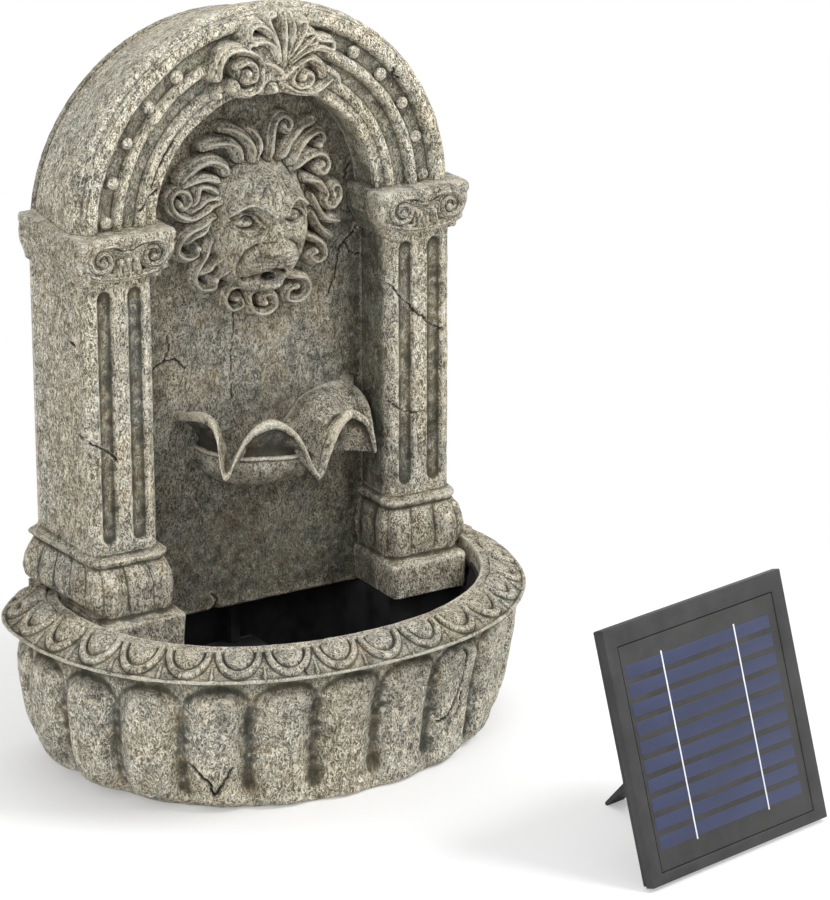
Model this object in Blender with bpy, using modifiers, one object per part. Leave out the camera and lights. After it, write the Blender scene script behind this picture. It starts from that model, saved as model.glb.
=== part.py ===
"""Lion head wall fountain with its solar panel, in metres.

The origin is the middle of the basin's foot, +Z is up, the lion faces -Y and +X is to the right of someone
who looks at the lion. The fountain is built up as stone courses are: basin, column bases, shafts, capitals
and arch, with the niche wall between them and a flat panel behind.
"""

import math

import bmesh
import bpy
from mathutils import Matrix, Vector

# Clearances
GAP = 0.0003
SHAFT_CLEARANCE = 0.0001

# Basin: plan and heights
RIM_HALF_WIDTH = 0.1875
RIM_SHIFT = -0.0055
RIM_FRONT_Y = -0.1385
PLAN_CENTRE_Y = 0.0337
PLAN_POWER = 2.2
PLAN_REAR_DEPTH = 0.1080
BACK_Y = 0.1000
RIM_TOP_Z = 0.1223
RIM_BAND_HEIGHT = 0.0108
RIM_BAND_WIDTH = 0.0330
RIM_LIP = 0.0015
RIM_TOP_WIDTH = 0.0035
RIM_FRONT_SHARE = 0.93
RIM_CROWN = 0.0004
RIM_BAND_STEPS = 10
RIM_BAND_CURVE = 1.6
POND_STEPS = 44
POND_TAPER = ((0.012, 0.0180), (0.045, 0.0120), (0.085, 0.0040), (0.105, 0.0))
LOBES = 14
LOBE_STEPS = 10
LOBE_PHASE = 3
LOBE_DEPTH = 0.0068
LOBE_CROWN_SHARE = 0.52
LOBE_EDGE_SHARE = 0.96
LOBE_HEAD_Z = 0.0800
LOBE_HEAD_HEIGHT = 0.0165
LOBE_FOOT_Z = 0.0100
LOBE_FOOT_HEIGHT = 0.0140
LOBE_FOOT_FADE = 0.0035
EGGS = 20
EGG_PHASE = 0.786
EGG_HEIGHT = 0.0030
EGG_GROUND = 0.0018
EGG_LOW_SHARE = 0.05
EGG_HIGH_SHARE = 0.9
EGG_TOP_SHARE = 0.82
EGG_LENGTH_SHARE = 0.74
EGG_WIDTH_SHARE = 0.48
BASIN_FLOOR = 0.0120
BASIN_BACK_WALL = 0.0060
LINER_WALL = 0.0020

# Columns
COLUMN_OUT = 0.1418
COLUMN_WIDTH = 0.0513
COLUMN_IN = COLUMN_OUT - COLUMN_WIDTH
COLUMN_SPREAD = 0.0012
COLUMN_FRONT_Y = 0.0142
COLUMN_WALL = 0.0070
COLUMN_CORNER = 0.0110
PLINTH_BOTTOM_Z = 0.0935
PLINTH_HEIGHT = 0.0245
PLINTH_FRONT_Y = -0.0069
PLINTH_IN = COLUMN_IN - 0.0095
PLINTH_SPREAD = 0.0040
LEDGE_FRONT_Y = 0.0120
BASE_HEIGHT = 0.0695
BASE_LOBES = 13
BASE_LOBE_STEPS = 4
BASE_LOBE_DEPTH = 0.0028
SHAFT_HEIGHT = 0.1905
FLUTE_RADIUS = 0.0055
FLUTE_DEPTH = 0.0035
FLUTE_SPACING = 0.0229
FLUTE_MARGIN = 0.0060
CAPITAL_HEIGHT = 0.0325
CAPITAL_IN = COLUMN_IN - 0.0129
CAPITAL_OUT = COLUMN_OUT + 0.0087
CAPITAL_FRONT_Y = 0.0010
ABACUS_HEIGHT = 0.0090
VOLUTE_RADIUS = 0.0122
VOLUTE_SPACING = 0.0383
VOLUTE_THICKNESS = 0.0160
VOLUTE_BEAD = 0.0019

# Wall and arch
NICHE_Y = 0.0497
NICHE_WALL = 0.0060
NICHE_BOTTOM_Z = 0.0905
BACK_PANEL = 0.0043
ARCH_FRONT_Y = 0.0170
ARCH_RADIUS = COLUMN_OUT - 0.0037
ARCH_INNER_RADIUS = COLUMN_IN - 0.0065
ARCH_CENTRE_DROP = 0.0038
ARCH_WALL = 0.0060
ARCH_STEPS = 32
BARREL_RADIUS = COLUMN_OUT - 0.0018
SHOULDER_RADIUS = COLUMN_OUT + 0.0037
SHOULDER_DEPTH = 0.0160
BARREL_DROP = 0.0139
MOULDING_DEPTH = 0.0045
BEAD_RADIUS = 0.0040
BEAD_CIRCLE = ARCH_RADIUS - 0.0162
BEADS_PER_SIDE = 5
BEAD_PITCH = math.radians(13.0)
FIRST_BEAD = math.radians(4.5)

# Ornaments on the wall
MANE_HALF_WIDTH = 0.0640
MANE_HALF_HEIGHT = 0.0700
LION_CENTRE_Z = 0.3730
LION_PROJECTION = 0.0545
LION_EDGE = 0.0060
MANE_LOCKS = 18
MOUTH_Z = 0.3360
CREST_CENTRE_Z = 0.4880
CREST_FRONT_Y = 0.0000
CREST_HALF_WIDTH = 0.0480
CREST_RISE = 0.0380
CREST_DROP = 0.0260
CREST_LEAVES = 7
BOWL_X = 0.0040
BOWL_SPOUT_Z = 0.1960
BOWL_HALF_WIDTH = 0.0740
BOWL_REACH = 0.0460
BOWL_WAVE = 0.0360
BOWL_FLARE = 0.0040
BOWL_WALL = 0.0035
BOWL_DEPTH = 0.0170
BOWL_STEPS = 48

# Water works
HOSE_Y = 0.0800
HOSE_BEND = 0.0160
HOSE_RADIUS = 0.0050
HOSE_WALL = 0.0012
PIPE_RADIUS = 0.0030
PIPE_BORE = 0.0020
PIPE_COLLAR_RADIUS = 0.0060
PIPE_COLLAR = 0.0020
PIPE_TIP_Y = 0.0190
PUMP_WIDTH = 0.0400
PUMP_HEIGHT = 0.0300
PUMP_FRONT_Y = 0.0510
PUMP_LENGTH = 0.0340
PUMP_COVER = 0.0030
SUCTION_CUP_HEIGHT = 0.0050
SUCTION_CUP_RADIUS = 0.0062
IMPELLER_RADIUS = 0.0085
IMPELLER_LENGTH = 0.0065
IMPELLER_BLADES = 6
MAGNET_RADIUS = 0.0045
MAGNET_LENGTH = 0.0160
IMPELLER_PIN_RADIUS = 0.0010
DIAL_RADIUS = 0.0055
DIAL_THICKNESS = 0.0022
NOZZLE_HEIGHT = 0.0110

# Back
ACCESS_HALF_WIDTH = 0.0420
ACCESS_BOTTOM_Z = 0.1050
ACCESS_HEIGHT = 0.0850
COVER_THICKNESS = 0.0030
COVER_FLANGE = 0.0030
FINGER_RADIUS = 0.0100
GROMMET_X = 0.0640
GROMMET_Z = 0.1150
GROMMET_RADIUS = 0.0060

# Solar panel
SOLAR_WIDTH = 0.1672
SOLAR_HEIGHT = 0.1725
SOLAR_DEPTH = 0.0110
SOLAR_BACK = 0.0035
SOLAR_LIP = 0.0075
SOLAR_RECESS = 0.0016
SOLAR_GLASS = 0.0030
SOLAR_CORNER = (0.0827, -0.3328)
SOLAR_YAW = math.radians(11.3)
SOLAR_LEAN = math.radians(17.1)
CELL_STRIPS = 10
CELL_SIDE_MARGIN = 0.0156
CELL_END_MARGIN = 0.01425
CELL_STRIP_GAP = 0.0016
CELL_THICKNESS = 0.0004
LEG_LENGTH = 0.1180
LEG_WIDTH = 0.0160
LEG_THICKNESS = 0.0030
LEG_PIVOT_HEIGHT = 0.0950
LEG_BARREL = 0.0040
LEG_PIN_RADIUS = 0.0015
EAR_THICKNESS = 0.0040
SCREW_RADIUS = 0.0026
SCREW_HEAD = 0.0012
SCREW_INSET = 0.0130
GLAND_INSET = 0.0380
GLAND_LENGTH = 0.0060
GLAND_RADIUS = 0.0045

# Heights and places that follow
LEDGE_Z = PLINTH_BOTTOM_Z - GAP
BASE_TOP_Z = PLINTH_BOTTOM_Z + BASE_HEIGHT
SHAFT_BOTTOM_Z = BASE_TOP_Z + GAP
SHAFT_TOP_Z = SHAFT_BOTTOM_Z + SHAFT_HEIGHT
CAPITAL_BOTTOM_Z = SHAFT_TOP_Z + GAP
CAPITAL_TOP_Z = CAPITAL_BOTTOM_Z + CAPITAL_HEIGHT
SPRINGING_Z = CAPITAL_TOP_Z + GAP
ARCH_CENTRE_Z = CAPITAL_TOP_Z - ARCH_CENTRE_DROP
BARREL_CENTRE_Z = ARCH_CENTRE_Z - BARREL_DROP
NICHE_BACK_Y = NICHE_Y + NICHE_WALL
PANEL_FRONT_Y = BACK_Y - BACK_PANEL
COURSE_BACK_Y = PANEL_FRONT_Y - GAP
COLUMN_CENTRE_X = (COLUMN_IN + COLUMN_OUT) / 2
BASIN_INSIDE_BACK_Y = BACK_Y - BASIN_BACK_WALL
RIM_INSIDE_INSET = RIM_BAND_WIDTH + RIM_TOP_WIDTH
LINER_FLOOR_Z = BASIN_FLOOR + GAP + LINER_WALL
PUMP_BOTTOM_Z = LINER_FLOOR_Z + SUCTION_CUP_HEIGHT + 2 * GAP
PUMP_AXIS_Z = PUMP_BOTTOM_Z + PUMP_HEIGHT / 2
PUMP_TOP_Z = PUMP_BOTTOM_Z + PUMP_HEIGHT
PUMP_REAR_Y = PUMP_FRONT_Y + PUMP_LENGTH
SPOUT_Z = MOUTH_Z


def new_collection(name):
    made = bpy.data.collections.new(name)
    bpy.context.scene.collection.children.link(made)
    return made


for leftover in list(bpy.data.objects):
    bpy.data.objects.remove(leftover)
PARTS = new_collection("lion_head_fountain")
CUTTERS = new_collection("cutters")


def material(name, colour, roughness, metallic=0.0):
    made = bpy.data.materials.new(name)
    made.use_nodes = True
    shader = made.node_tree.nodes["Principled BSDF"]
    shader.inputs["Base Color"].default_value = (*colour, 1.0)
    shader.inputs["Roughness"].default_value = roughness
    shader.inputs["Metallic"].default_value = metallic
    made.diffuse_color = (*colour, 1.0)
    return made


def part_object(name, mesh, finish=None):
    """A named object in the parts, or a hidden cutter when it has no finish."""
    made = bpy.data.objects.new(name, mesh)
    if finish is None:
        CUTTERS.objects.link(made)
        made.hide_render = True
        made.display_type = "WIRE"
    else:
        PARTS.objects.link(made)
        mesh.materials.append(finish)
        mesh.shade_smooth()
        mesh.set_sharp_from_angle(angle=math.radians(35))
    return made


def from_bmesh(name, shape, finish=None):
    """Closes a bmesh into an object whose faces point outwards."""
    if shape.calc_volume(signed=True) < 0:
        bmesh.ops.reverse_faces(shape, faces=shape.faces)
    mesh = bpy.data.meshes.new(name)
    shape.to_mesh(mesh)
    shape.free()
    return part_object(name, mesh, finish)


def box(name, low, high, finish=None, bevel=0.0, segments=2):
    low, high = Vector(low), Vector(high)
    shape = bmesh.new()
    bmesh.ops.create_cube(shape, size=1.0)
    bmesh.ops.scale(shape, vec=high - low, verts=shape.verts)
    bmesh.ops.translate(shape, vec=(low + high) / 2, verts=shape.verts)
    if bevel:
        bmesh.ops.bevel(
            shape,
            geom=shape.edges[:],
            offset=bevel,
            segments=segments,
            affect="EDGES",
            profile=0.5,
            material=-1,
        )
    return from_bmesh(name, shape, finish)


def rod(name, start, end, radius, sides=24, finish=None, end_radius=None):
    """A cylinder or cone between two points."""
    start, end = Vector(start), Vector(end)
    shape = bmesh.new()
    bmesh.ops.create_cone(
        shape,
        cap_ends=True,
        segments=sides,
        radius1=radius,
        radius2=radius if end_radius is None else end_radius,
        depth=(end - start).length,
    )
    turn = (end - start).to_track_quat("Z", "Y").to_matrix().to_4x4()
    bmesh.ops.transform(
        shape, matrix=Matrix.Translation((start + end) / 2) @ turn, verts=shape.verts
    )
    return from_bmesh(name, shape, finish)


def loft(name, rings, finish=None):
    """A closed solid through rings of as many points each, capped at both ends."""
    shape = bmesh.new()
    levels = [[shape.verts.new(point) for point in ring] for ring in rings]
    count = len(levels[0])
    for lower, upper in zip(levels, levels[1:]):
        for i in range(count):
            j = (i + 1) % count
            shape.faces.new((lower[i], lower[j], upper[j], upper[i]))
    shape.faces.new(levels[0])
    shape.faces.new(levels[-1])
    bmesh.ops.recalc_face_normals(shape, faces=shape.faces)
    return from_bmesh(name, shape, finish)


def plate(name, outline, low, high, axis="Y", finish=None):
    """A flat outline, as a filled 2D curve, with its thickness along an axis."""
    curve = bpy.data.curves.new(name, "CURVE")
    curve.dimensions = "2D"
    curve.fill_mode = "BOTH"
    curve.extrude = (high - low) / 2
    line = curve.splines.new("POLY")
    line.points.add(len(outline) - 1)
    for point, (across, up) in zip(line.points, outline):
        point.co = (across, up, 0.0, 1.0)
    line.use_cyclic_u = True
    drawn = bpy.data.objects.new(name, curve)
    bpy.context.scene.collection.objects.link(drawn)
    graph = bpy.context.evaluated_depsgraph_get()
    mesh = bpy.data.meshes.new_from_object(drawn.evaluated_get(graph))
    bpy.data.objects.remove(drawn)
    turn = {
        "Y": Matrix.Rotation(math.radians(90), 4, "X"),
        "Z": Matrix.Identity(4),
        "X": Matrix(((0, 0, 1, 0), (1, 0, 0, 0), (0, 1, 0, 0), (0, 0, 0, 1))),
    }[axis]
    along = {"Y": (0, 1, 0), "Z": (0, 0, 1), "X": (1, 0, 0)}[axis]
    shape = bmesh.new()
    shape.from_mesh(mesh)
    bmesh.ops.remove_doubles(shape, verts=shape.verts, dist=0.000001)
    shift = Matrix.Translation(Vector(along) * (low + high) / 2)
    bmesh.ops.transform(shape, matrix=shift @ turn, verts=shape.verts)
    bmesh.ops.recalc_face_normals(shape, faces=shape.faces)
    return from_bmesh(name, shape, finish)


def turned(name, profile, place, steps=24, finish=None):
    """A profile of (radius, height) pairs, top to bottom, turned about its axis by a Screw modifier."""
    shape = bmesh.new()
    points = [shape.verts.new((radius, 0.0, height)) for radius, height in profile]
    for first, second in zip(points, points[1:]):
        shape.edges.new((first, second))
    mesh = bpy.data.meshes.new(name)
    shape.to_mesh(mesh)
    shape.free()
    made = bpy.data.objects.new(name, mesh)
    CUTTERS.objects.link(made)
    screw = made.modifiers.new("Turned", "SCREW")
    screw.angle = math.radians(360)
    screw.steps = steps
    screw.render_steps = steps
    screw.use_merge_vertices = True
    screw.merge_threshold = 0.00001
    solid = applied_mesh(made)
    bpy.data.objects.remove(made)
    shape = bmesh.new()
    shape.from_mesh(solid)
    bmesh.ops.remove_doubles(shape, verts=shape.verts, dist=0.000001)
    bmesh.ops.transform(shape, matrix=place, verts=shape.verts)
    bmesh.ops.recalc_face_normals(shape, faces=shape.faces)
    return from_bmesh(name, shape, finish)


def tube(name, points, radius, sides_step=2, finish=None, wall=0.0):
    """A round bar along a line of points, or an open tube with a wall."""
    curve = bpy.data.curves.new(name, "CURVE")
    curve.dimensions = "3D"
    curve.bevel_depth = radius
    curve.bevel_resolution = sides_step
    curve.use_fill_caps = wall == 0.0
    line = curve.splines.new("POLY")
    line.points.add(len(points) - 1)
    for point, place in zip(line.points, points):
        point.co = (*place, 1.0)
    drawn = bpy.data.objects.new(name, curve)
    bpy.context.scene.collection.objects.link(drawn)
    graph = bpy.context.evaluated_depsgraph_get()
    mesh = bpy.data.meshes.new_from_object(drawn.evaluated_get(graph))
    bpy.data.objects.remove(drawn)
    shape = bmesh.new()
    shape.from_mesh(mesh)
    bmesh.ops.remove_doubles(shape, verts=shape.verts, dist=0.000001)
    if wall:
        bmesh.ops.recalc_face_normals(shape, faces=shape.faces)
        bmesh.ops.solidify(shape, geom=shape.faces[:], thickness=wall)
    bmesh.ops.recalc_face_normals(shape, faces=shape.faces)
    return from_bmesh(name, shape, finish)


def applied_mesh(item):
    graph = bpy.context.evaluated_depsgraph_get()
    return bpy.data.meshes.new_from_object(item.evaluated_get(graph))


def combine(item, other, operation="DIFFERENCE"):
    """Cuts another solid from an object, or joins it on, and makes the result its mesh."""
    joint = item.modifiers.new(other.name, "BOOLEAN")
    joint.operation = operation
    joint.solver = "EXACT"
    joint.object = other
    mesh = applied_mesh(item)
    item.modifiers.clear()
    item.data = mesh
    mesh.shade_smooth()
    mesh.set_sharp_from_angle(angle=math.radians(35))
    bpy.data.objects.remove(other)
    return item


def mirrored(item, name):
    """The left twin of a piece of the right side."""
    shape = bmesh.new()
    shape.from_mesh(item.data)
    bmesh.ops.scale(shape, vec=(-1, 1, 1), verts=shape.verts)
    bmesh.ops.reverse_faces(shape, faces=shape.faces)
    mesh = bpy.data.meshes.new(name)
    shape.to_mesh(mesh)
    shape.free()
    return part_object(name, mesh, item.data.materials[0])


def arc(centre, radius, start, end, steps):
    """Points of a round stretch, with its angles in radians."""
    turn = (end - start) / steps
    return [
        (
            centre[0] + radius * math.cos(start + turn * i),
            centre[1] + radius * math.sin(start + turn * i),
        )
        for i in range(steps + 1)
    ]


def smooth_step(value):
    value = min(max(value, 0.0), 1.0)
    return value * value * (3 - 2 * value)


def bump(x, z, centre, radii):
    """A round bump of height 1 that fades at about twice its radii."""
    across = (x - centre[0]) / radii[0]
    up = (z - centre[1]) / radii[1]
    return math.exp(-(across * across + up * up))


STONE = material("stone", (0.36, 0.34, 0.28), 0.85)
DARK_STONE = material("dark_stone", (0.20, 0.19, 0.16), 0.9)
BLACK_PLASTIC = material("black_plastic", (0.015, 0.015, 0.016), 0.45)
PUMP_PLASTIC = material("pump_plastic", (0.02, 0.02, 0.022), 0.4)
SOFT_RUBBER = material("soft_rubber", (0.05, 0.05, 0.055), 0.7)
HOSE_BLACK = material("hose_black", (0.02, 0.02, 0.02), 0.4)
STEEL = material("steel", (0.6, 0.6, 0.6), 0.3, 1.0)
CERAMIC = material("ceramic", (0.75, 0.74, 0.7), 0.3)
CELL_BLUE = material("cell_blue", (0.03, 0.04, 0.12), 0.25)
GLASS = material("panel_glass", (0.02, 0.025, 0.06), 0.1)


def plan_line(half_width, front_y, samples=240):
    """The basin's outline at one level: a rounded front and sides drawn in to the flat back, as points by their arc
    length, from the right rear corner round the front to the left one."""
    rear = PLAN_REAR_DEPTH * half_width / RIM_HALF_WIDTH
    front = PLAN_CENTRE_Y - front_y
    reach = min((BACK_Y - PLAN_CENTRE_Y) / rear, 0.999)
    start = -math.asin(reach ** (PLAN_POWER / 2))
    line = []
    for i in range(samples + 1):
        angle = start + (math.pi - 2 * start) * i / samples
        across, along = math.cos(angle), math.sin(angle)
        x = half_width * math.copysign(abs(across) ** (2 / PLAN_POWER), across)
        depth = front if along > 0 else rear
        y = PLAN_CENTRE_Y - depth * math.copysign(abs(along) ** (2 / PLAN_POWER), along)
        line.append(Vector((x, y)))
    return line


def spaced(line, count):
    """Points at equal steps along a line, ends included."""
    lengths = [0.0]
    for first, second in zip(line, line[1:]):
        lengths.append(lengths[-1] + (second - first).length)
    found = []
    segment = 0
    for i in range(count + 1):
        target = lengths[-1] * i / count
        while segment < len(line) - 2 and lengths[segment + 1] < target:
            segment += 1
        step = lengths[segment + 1] - lengths[segment]
        share = (target - lengths[segment]) / step
        found.append(line[segment].lerp(line[segment + 1], share))
    return found


def lobe_hollow(share, z):
    """How far a place lies down in the grooves round its lobe: 0 on the lobe and 1 in the groove. A lobe has a round
    head below the rim and a round foot."""
    side = abs(2 * share - 1)
    head = max(z - LOBE_HEAD_Z, 0.0) / LOBE_HEAD_HEIGHT
    foot = max(LOBE_FOOT_Z - z, 0.0) / LOBE_FOOT_HEIGHT
    edge = math.sqrt(side**2 + head**2 + foot**2)
    fall = (edge - LOBE_CROWN_SHARE) / (LOBE_EDGE_SHARE - LOBE_CROWN_SHARE)
    fall = min(max(fall, 0.0), 1.0)
    return fall * fall * (3 - 2 * fall) * min(z / LOBE_FOOT_FADE, 1.0)


def egg_lift(share, rise):
    """How far the rim's slope is raised or sunk at a share of the way along one egg and up the band. An egg has its
    flat end at the top and its round end towards the rim's edge."""
    if not EGG_LOW_SHARE < rise < EGG_HIGH_SHARE:
        return 0.0
    along = (share - 0.5) / EGG_WIDTH_SHARE
    down = max(EGG_TOP_SHARE - rise, 0.0) / EGG_LENGTH_SHARE
    return EGG_HEIGHT * math.sqrt(max(1 - along**2 - down**2, 0.0)) - EGG_GROUND


def basin_ring(z, half_width, front_y, shift=0.0, rise=None):
    """One level of the basin: with the grooves between its lobes, or on the rim with its eggs, at that rise up the
    band. The rim's edge hangs over a little further on the left than on the right, by its shift."""
    count = LOBES * LOBE_STEPS
    points = spaced(plan_line(half_width, front_y), count)
    centre = Vector((0.0, PLAN_CENTRE_Y))
    ring = []
    for i, point in enumerate(points):
        depth, lift = 0.0, 0.0
        if rise is None:
            share = ((i + LOBE_PHASE) % LOBE_STEPS) / LOBE_STEPS
            depth = LOBE_DEPTH * lobe_hollow(share, z)
        else:
            share = (i / count * EGGS - EGG_PHASE + 0.5) % 1.0
            lift = egg_lift(share, rise)
        moved = point - (point - centre).normalized() * depth
        ring.append((moved.x + shift, min(moved.y, BACK_Y), z + lift))
    ring[0] = (ring[0][0], BACK_Y, z)
    ring[-1] = (ring[-1][0], BACK_Y, z)
    return ring


def basin_rings():
    """The outside from the foot up to the rim's top: (height, side inset, front inset), from the rim's edge."""
    band_foot_z = RIM_TOP_Z - RIM_BAND_HEIGHT
    edge_z = band_foot_z - RIM_LIP
    bowl = [
        (0.000, 0.0485, 0.0410),
        (0.0035, 0.0371, 0.0372),
        (0.0106, 0.0235, 0.0365),
        (0.0213, 0.0159, 0.0377),
        (0.0355, 0.0108, 0.0365),
        (0.0532, 0.0075, 0.0340),
        (0.0710, 0.0054, 0.0299),
        (0.0850, 0.0055, 0.0250),
        (0.0890, 0.0056, 0.0233),
        (0.0930, 0.0058, 0.0215),
        (0.0985, 0.0062, 0.0195),
        (0.1047, 0.0064, 0.0178),
    ]
    band = [(edge_z - 0.0012, 0.0028, 0.0030, 0.0), (edge_z, 0.0, 0.0, 0.0)]
    for i in range(RIM_BAND_STEPS + 1):
        share = i / RIM_BAND_STEPS
        inset = RIM_BAND_WIDTH * share
        rise = (RIM_BAND_HEIGHT - RIM_CROWN) * (1 - (1 - share) ** RIM_BAND_CURVE)
        band.append((band_foot_z + rise, inset, inset * RIM_FRONT_SHARE, share))
    inside = RIM_INSIDE_INSET + 0.002
    band.append((RIM_TOP_Z, inside, inside * RIM_FRONT_SHARE, 1.0))
    body = [basin_ring(z, RIM_HALF_WIDTH - side, RIM_FRONT_Y + front) for z, side, front in bowl]
    rim = [
        basin_ring(
            z,
            RIM_HALF_WIDTH - side,
            RIM_FRONT_Y + front,
            RIM_SHIFT * (1 - side / inside),
            share,
        )
        for z, side, front, share in band
    ]
    return body + rim


def in_front_of(line, end_y):
    """The stretch of a plan line in front of a given depth, with both its ends just there."""
    start = next(i for i, point in enumerate(line) if point.y < end_y)
    outer, inner = line[start - 1], line[start]
    end = outer.lerp(inner, (outer.y - end_y) / (outer.y - inner.y))
    stretch = [point for point in line if point.y < end_y]
    return [end] + stretch + [Vector((-end.x, end.y))]


def pond_ring(z, taper, offset):
    """One level of the basin's inside: the rounded front part, which draws in by the taper, then the narrower pump
    chamber between the ledges. The offset moves all of it inwards."""
    half_width = RIM_HALF_WIDTH - RIM_INSIDE_INSET - taper - offset
    front = RIM_FRONT_Y + RIM_INSIDE_INSET * RIM_FRONT_SHARE + taper + offset
    ledge_y = LEDGE_FRONT_Y - offset
    chamber = COLUMN_IN - offset
    line = in_front_of(plan_line(half_width, front), ledge_y)
    rounded = [(point.x, point.y, z) for point in spaced(line, POND_STEPS)]
    back = BASIN_INSIDE_BACK_Y - offset
    chamber_ring = [(-chamber, ledge_y), (-chamber, back), (chamber, back), (chamber, ledge_y)]
    return rounded + [(x, y, z) for x, y in chamber_ring]


def pond_taper(z):
    for (low_z, low), (high_z, high) in zip(POND_TAPER, POND_TAPER[1:]):
        if z <= high_z:
            return low + (high - low) * (z - low_z) / (high_z - low_z)
    return 0.0


def pond(name, floor_z, top_z, offset, finish=None):
    """The inside of the basin as a solid: it draws in towards its floor as the outside does."""
    heights = [floor_z] + [z for z, taper in POND_TAPER[1:]] + [top_z]
    return loft(name, [pond_ring(z, pond_taper(z), offset) for z in heights], finish)


def seat_cutter(name, clearance):
    """The room above the ledges that the columns and the wall stand in."""
    return box(
        name,
        (-COLUMN_OUT - PLINTH_SPREAD - clearance, PLINTH_FRONT_Y - clearance, LEDGE_Z),
        (COLUMN_OUT + PLINTH_SPREAD + clearance, BACK_Y + 0.02, RIM_TOP_Z + 0.02),
    )


def make_basin():
    basin = loft("basin", basin_rings(), STONE)
    combine(basin, pond("pond_cut", BASIN_FLOOR, RIM_TOP_Z + 0.02, 0.0))
    combine(basin, seat_cutter("seat_cut", 2 * GAP))
    liner = pond("basin_liner", BASIN_FLOOR + GAP, RIM_TOP_Z - 0.012, GAP, BLACK_PLASTIC)
    combine(liner, pond("liner_cut", LINER_FLOOR_Z, RIM_TOP_Z + 0.02, GAP + LINER_WALL))
    room = box(
        "liner_room",
        (-RIM_HALF_WIDTH, PLINTH_FRONT_Y - GAP, NICHE_BOTTOM_Z - 2 * GAP),
        (RIM_HALF_WIDTH, BACK_Y + 0.02, RIM_TOP_Z + 0.02),
    )
    combine(liner, room)


def block_ring(z, inner_x, outer_x, spread, front_y, corner, depth=0.0):
    """One level of a column piece of the right side: up its inner face, round the front and back along the side,
    which spreads outwards by so much at its rear. The flat back closes it. A depth hollows it between its lobes."""
    steps = BASE_LOBES * BASE_LOBE_STEPS
    line = [Vector((inner_x, COURSE_BACK_Y))]
    for x, y in arc((inner_x + corner, front_y + corner), corner, math.pi, 1.5 * math.pi, 6):
        line.append(Vector((x, y)))
    for x, y in arc((outer_x - corner, front_y + corner), corner, 1.5 * math.pi, 2 * math.pi, 6):
        line.append(Vector((x, y)))
    line.append(Vector((outer_x + spread, COURSE_BACK_Y)))
    centre = Vector((COLUMN_CENTRE_X, (front_y + COURSE_BACK_Y) / 2))
    ring = []
    for i, point in enumerate(spaced(line, steps)):
        hollow = 1 - abs(math.sin(math.pi * (i % BASE_LOBE_STEPS) / BASE_LOBE_STEPS)) ** 0.6
        inward = centre - point
        if inner_x + corner < point.x < outer_x - corner:
            inward.x = 0.0
        if point.y > front_y + corner:
            inward.y = 0.0
        moved = point + inward.normalized() * depth * hollow
        ring.append((moved.x, min(moved.y, COURSE_BACK_Y), z))
    ring[0] = (ring[0][0], COURSE_BACK_Y, z)
    ring[-1] = (ring[-1][0], COURSE_BACK_Y, z)
    return ring


def niche_clearance(name, low_z, high_z):
    """Room beside a column piece for the niche wall, which fills the space between the columns."""
    return box(
        name,
        (0.0, NICHE_Y - GAP, low_z - 0.01),
        (COLUMN_IN, BACK_Y + 0.01, high_z + 0.01),
    )


def hollow_cutter(name, low_z, high_z):
    """The hollow up the middle of a column, open at its back."""
    return box(
        name,
        (COLUMN_IN + COLUMN_WALL, COLUMN_FRONT_Y + 2 * COLUMN_WALL, low_z - 0.01),
        (COLUMN_OUT - COLUMN_WALL, BACK_Y + 0.01, high_z + 0.01),
    )


def make_column_base():
    """Plinth, gadrooned bulb and ring: (height, inner growth, outer growth, growth of the outer side's rear, front
    growth, share of the hollows)."""
    plinth_top = PLINTH_HEIGHT
    plinth_in = COLUMN_IN - PLINTH_IN
    plinth_front = COLUMN_FRONT_Y - PLINTH_FRONT_Y
    levels = [
        (0.0000, plinth_in - 0.0020, 0.0004, 0.0040, plinth_front - 0.0008, 0.0),
        (plinth_top - 0.0020, plinth_in, 0.0010, 0.0040, plinth_front, 0.0),
        (plinth_top, plinth_in - 0.0012, 0.0004, 0.0034, plinth_front - 0.0012, 0.0),
        (plinth_top + 0.0050, 0.0100, 0.0010, 0.0040, 0.0150, 0.15),
        (plinth_top + 0.0066, 0.0118, 0.0030, 0.0080, 0.0166, 0.5),
        (plinth_top + 0.0110, 0.0150, 0.0062, 0.0138, 0.0182, 1.0),
        (plinth_top + 0.0175, 0.0160, 0.0072, 0.0148, 0.0185, 1.0),
        (plinth_top + 0.0250, 0.0146, 0.0060, 0.0128, 0.0165, 1.0),
        (plinth_top + 0.0310, 0.0105, 0.0034, 0.0084, 0.0125, 0.8),
        (plinth_top + 0.0335, 0.0080, 0.0014, 0.0044, 0.0090, 0.0),
        (plinth_top + 0.0350, 0.0106, 0.0034, 0.0064, 0.0108, 0.0),
        (plinth_top + 0.0385, 0.0119, 0.0044, 0.0074, 0.0118, 0.0),
        (plinth_top + 0.0420, 0.0106, 0.0034, 0.0064, 0.0108, 0.0),
        (BASE_HEIGHT, 0.0050, 0.0010, 0.0022, 0.0055, 0.0),
    ]
    rings = [
        block_ring(
            PLINTH_BOTTOM_Z + z,
            COLUMN_IN - inner,
            COLUMN_OUT + outer,
            rear - outer,
            COLUMN_FRONT_Y - front,
            COLUMN_CORNER if z > plinth_top else 0.004,
            BASE_LOBE_DEPTH * share,
        )
        for z, inner, outer, rear, front, share in levels
    ]
    base = loft("column_base_right", rings, STONE)
    combine(base, niche_clearance("base_room", PLINTH_BOTTOM_Z, BASE_TOP_Z))
    combine(base, hollow_cutter("base_hollow", PLINTH_BOTTOM_Z, BASE_TOP_Z))
    mirrored(base, "column_base_left")


def stadium(centre_x, low_z, high_z, radius, steps=8):
    """An outline with straight sides and round ends."""
    top = arc((centre_x, high_z - radius), radius, 0, math.pi, steps)
    bottom = arc((centre_x, low_z + radius), radius, math.pi, 2 * math.pi, steps)
    return top + bottom


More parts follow.
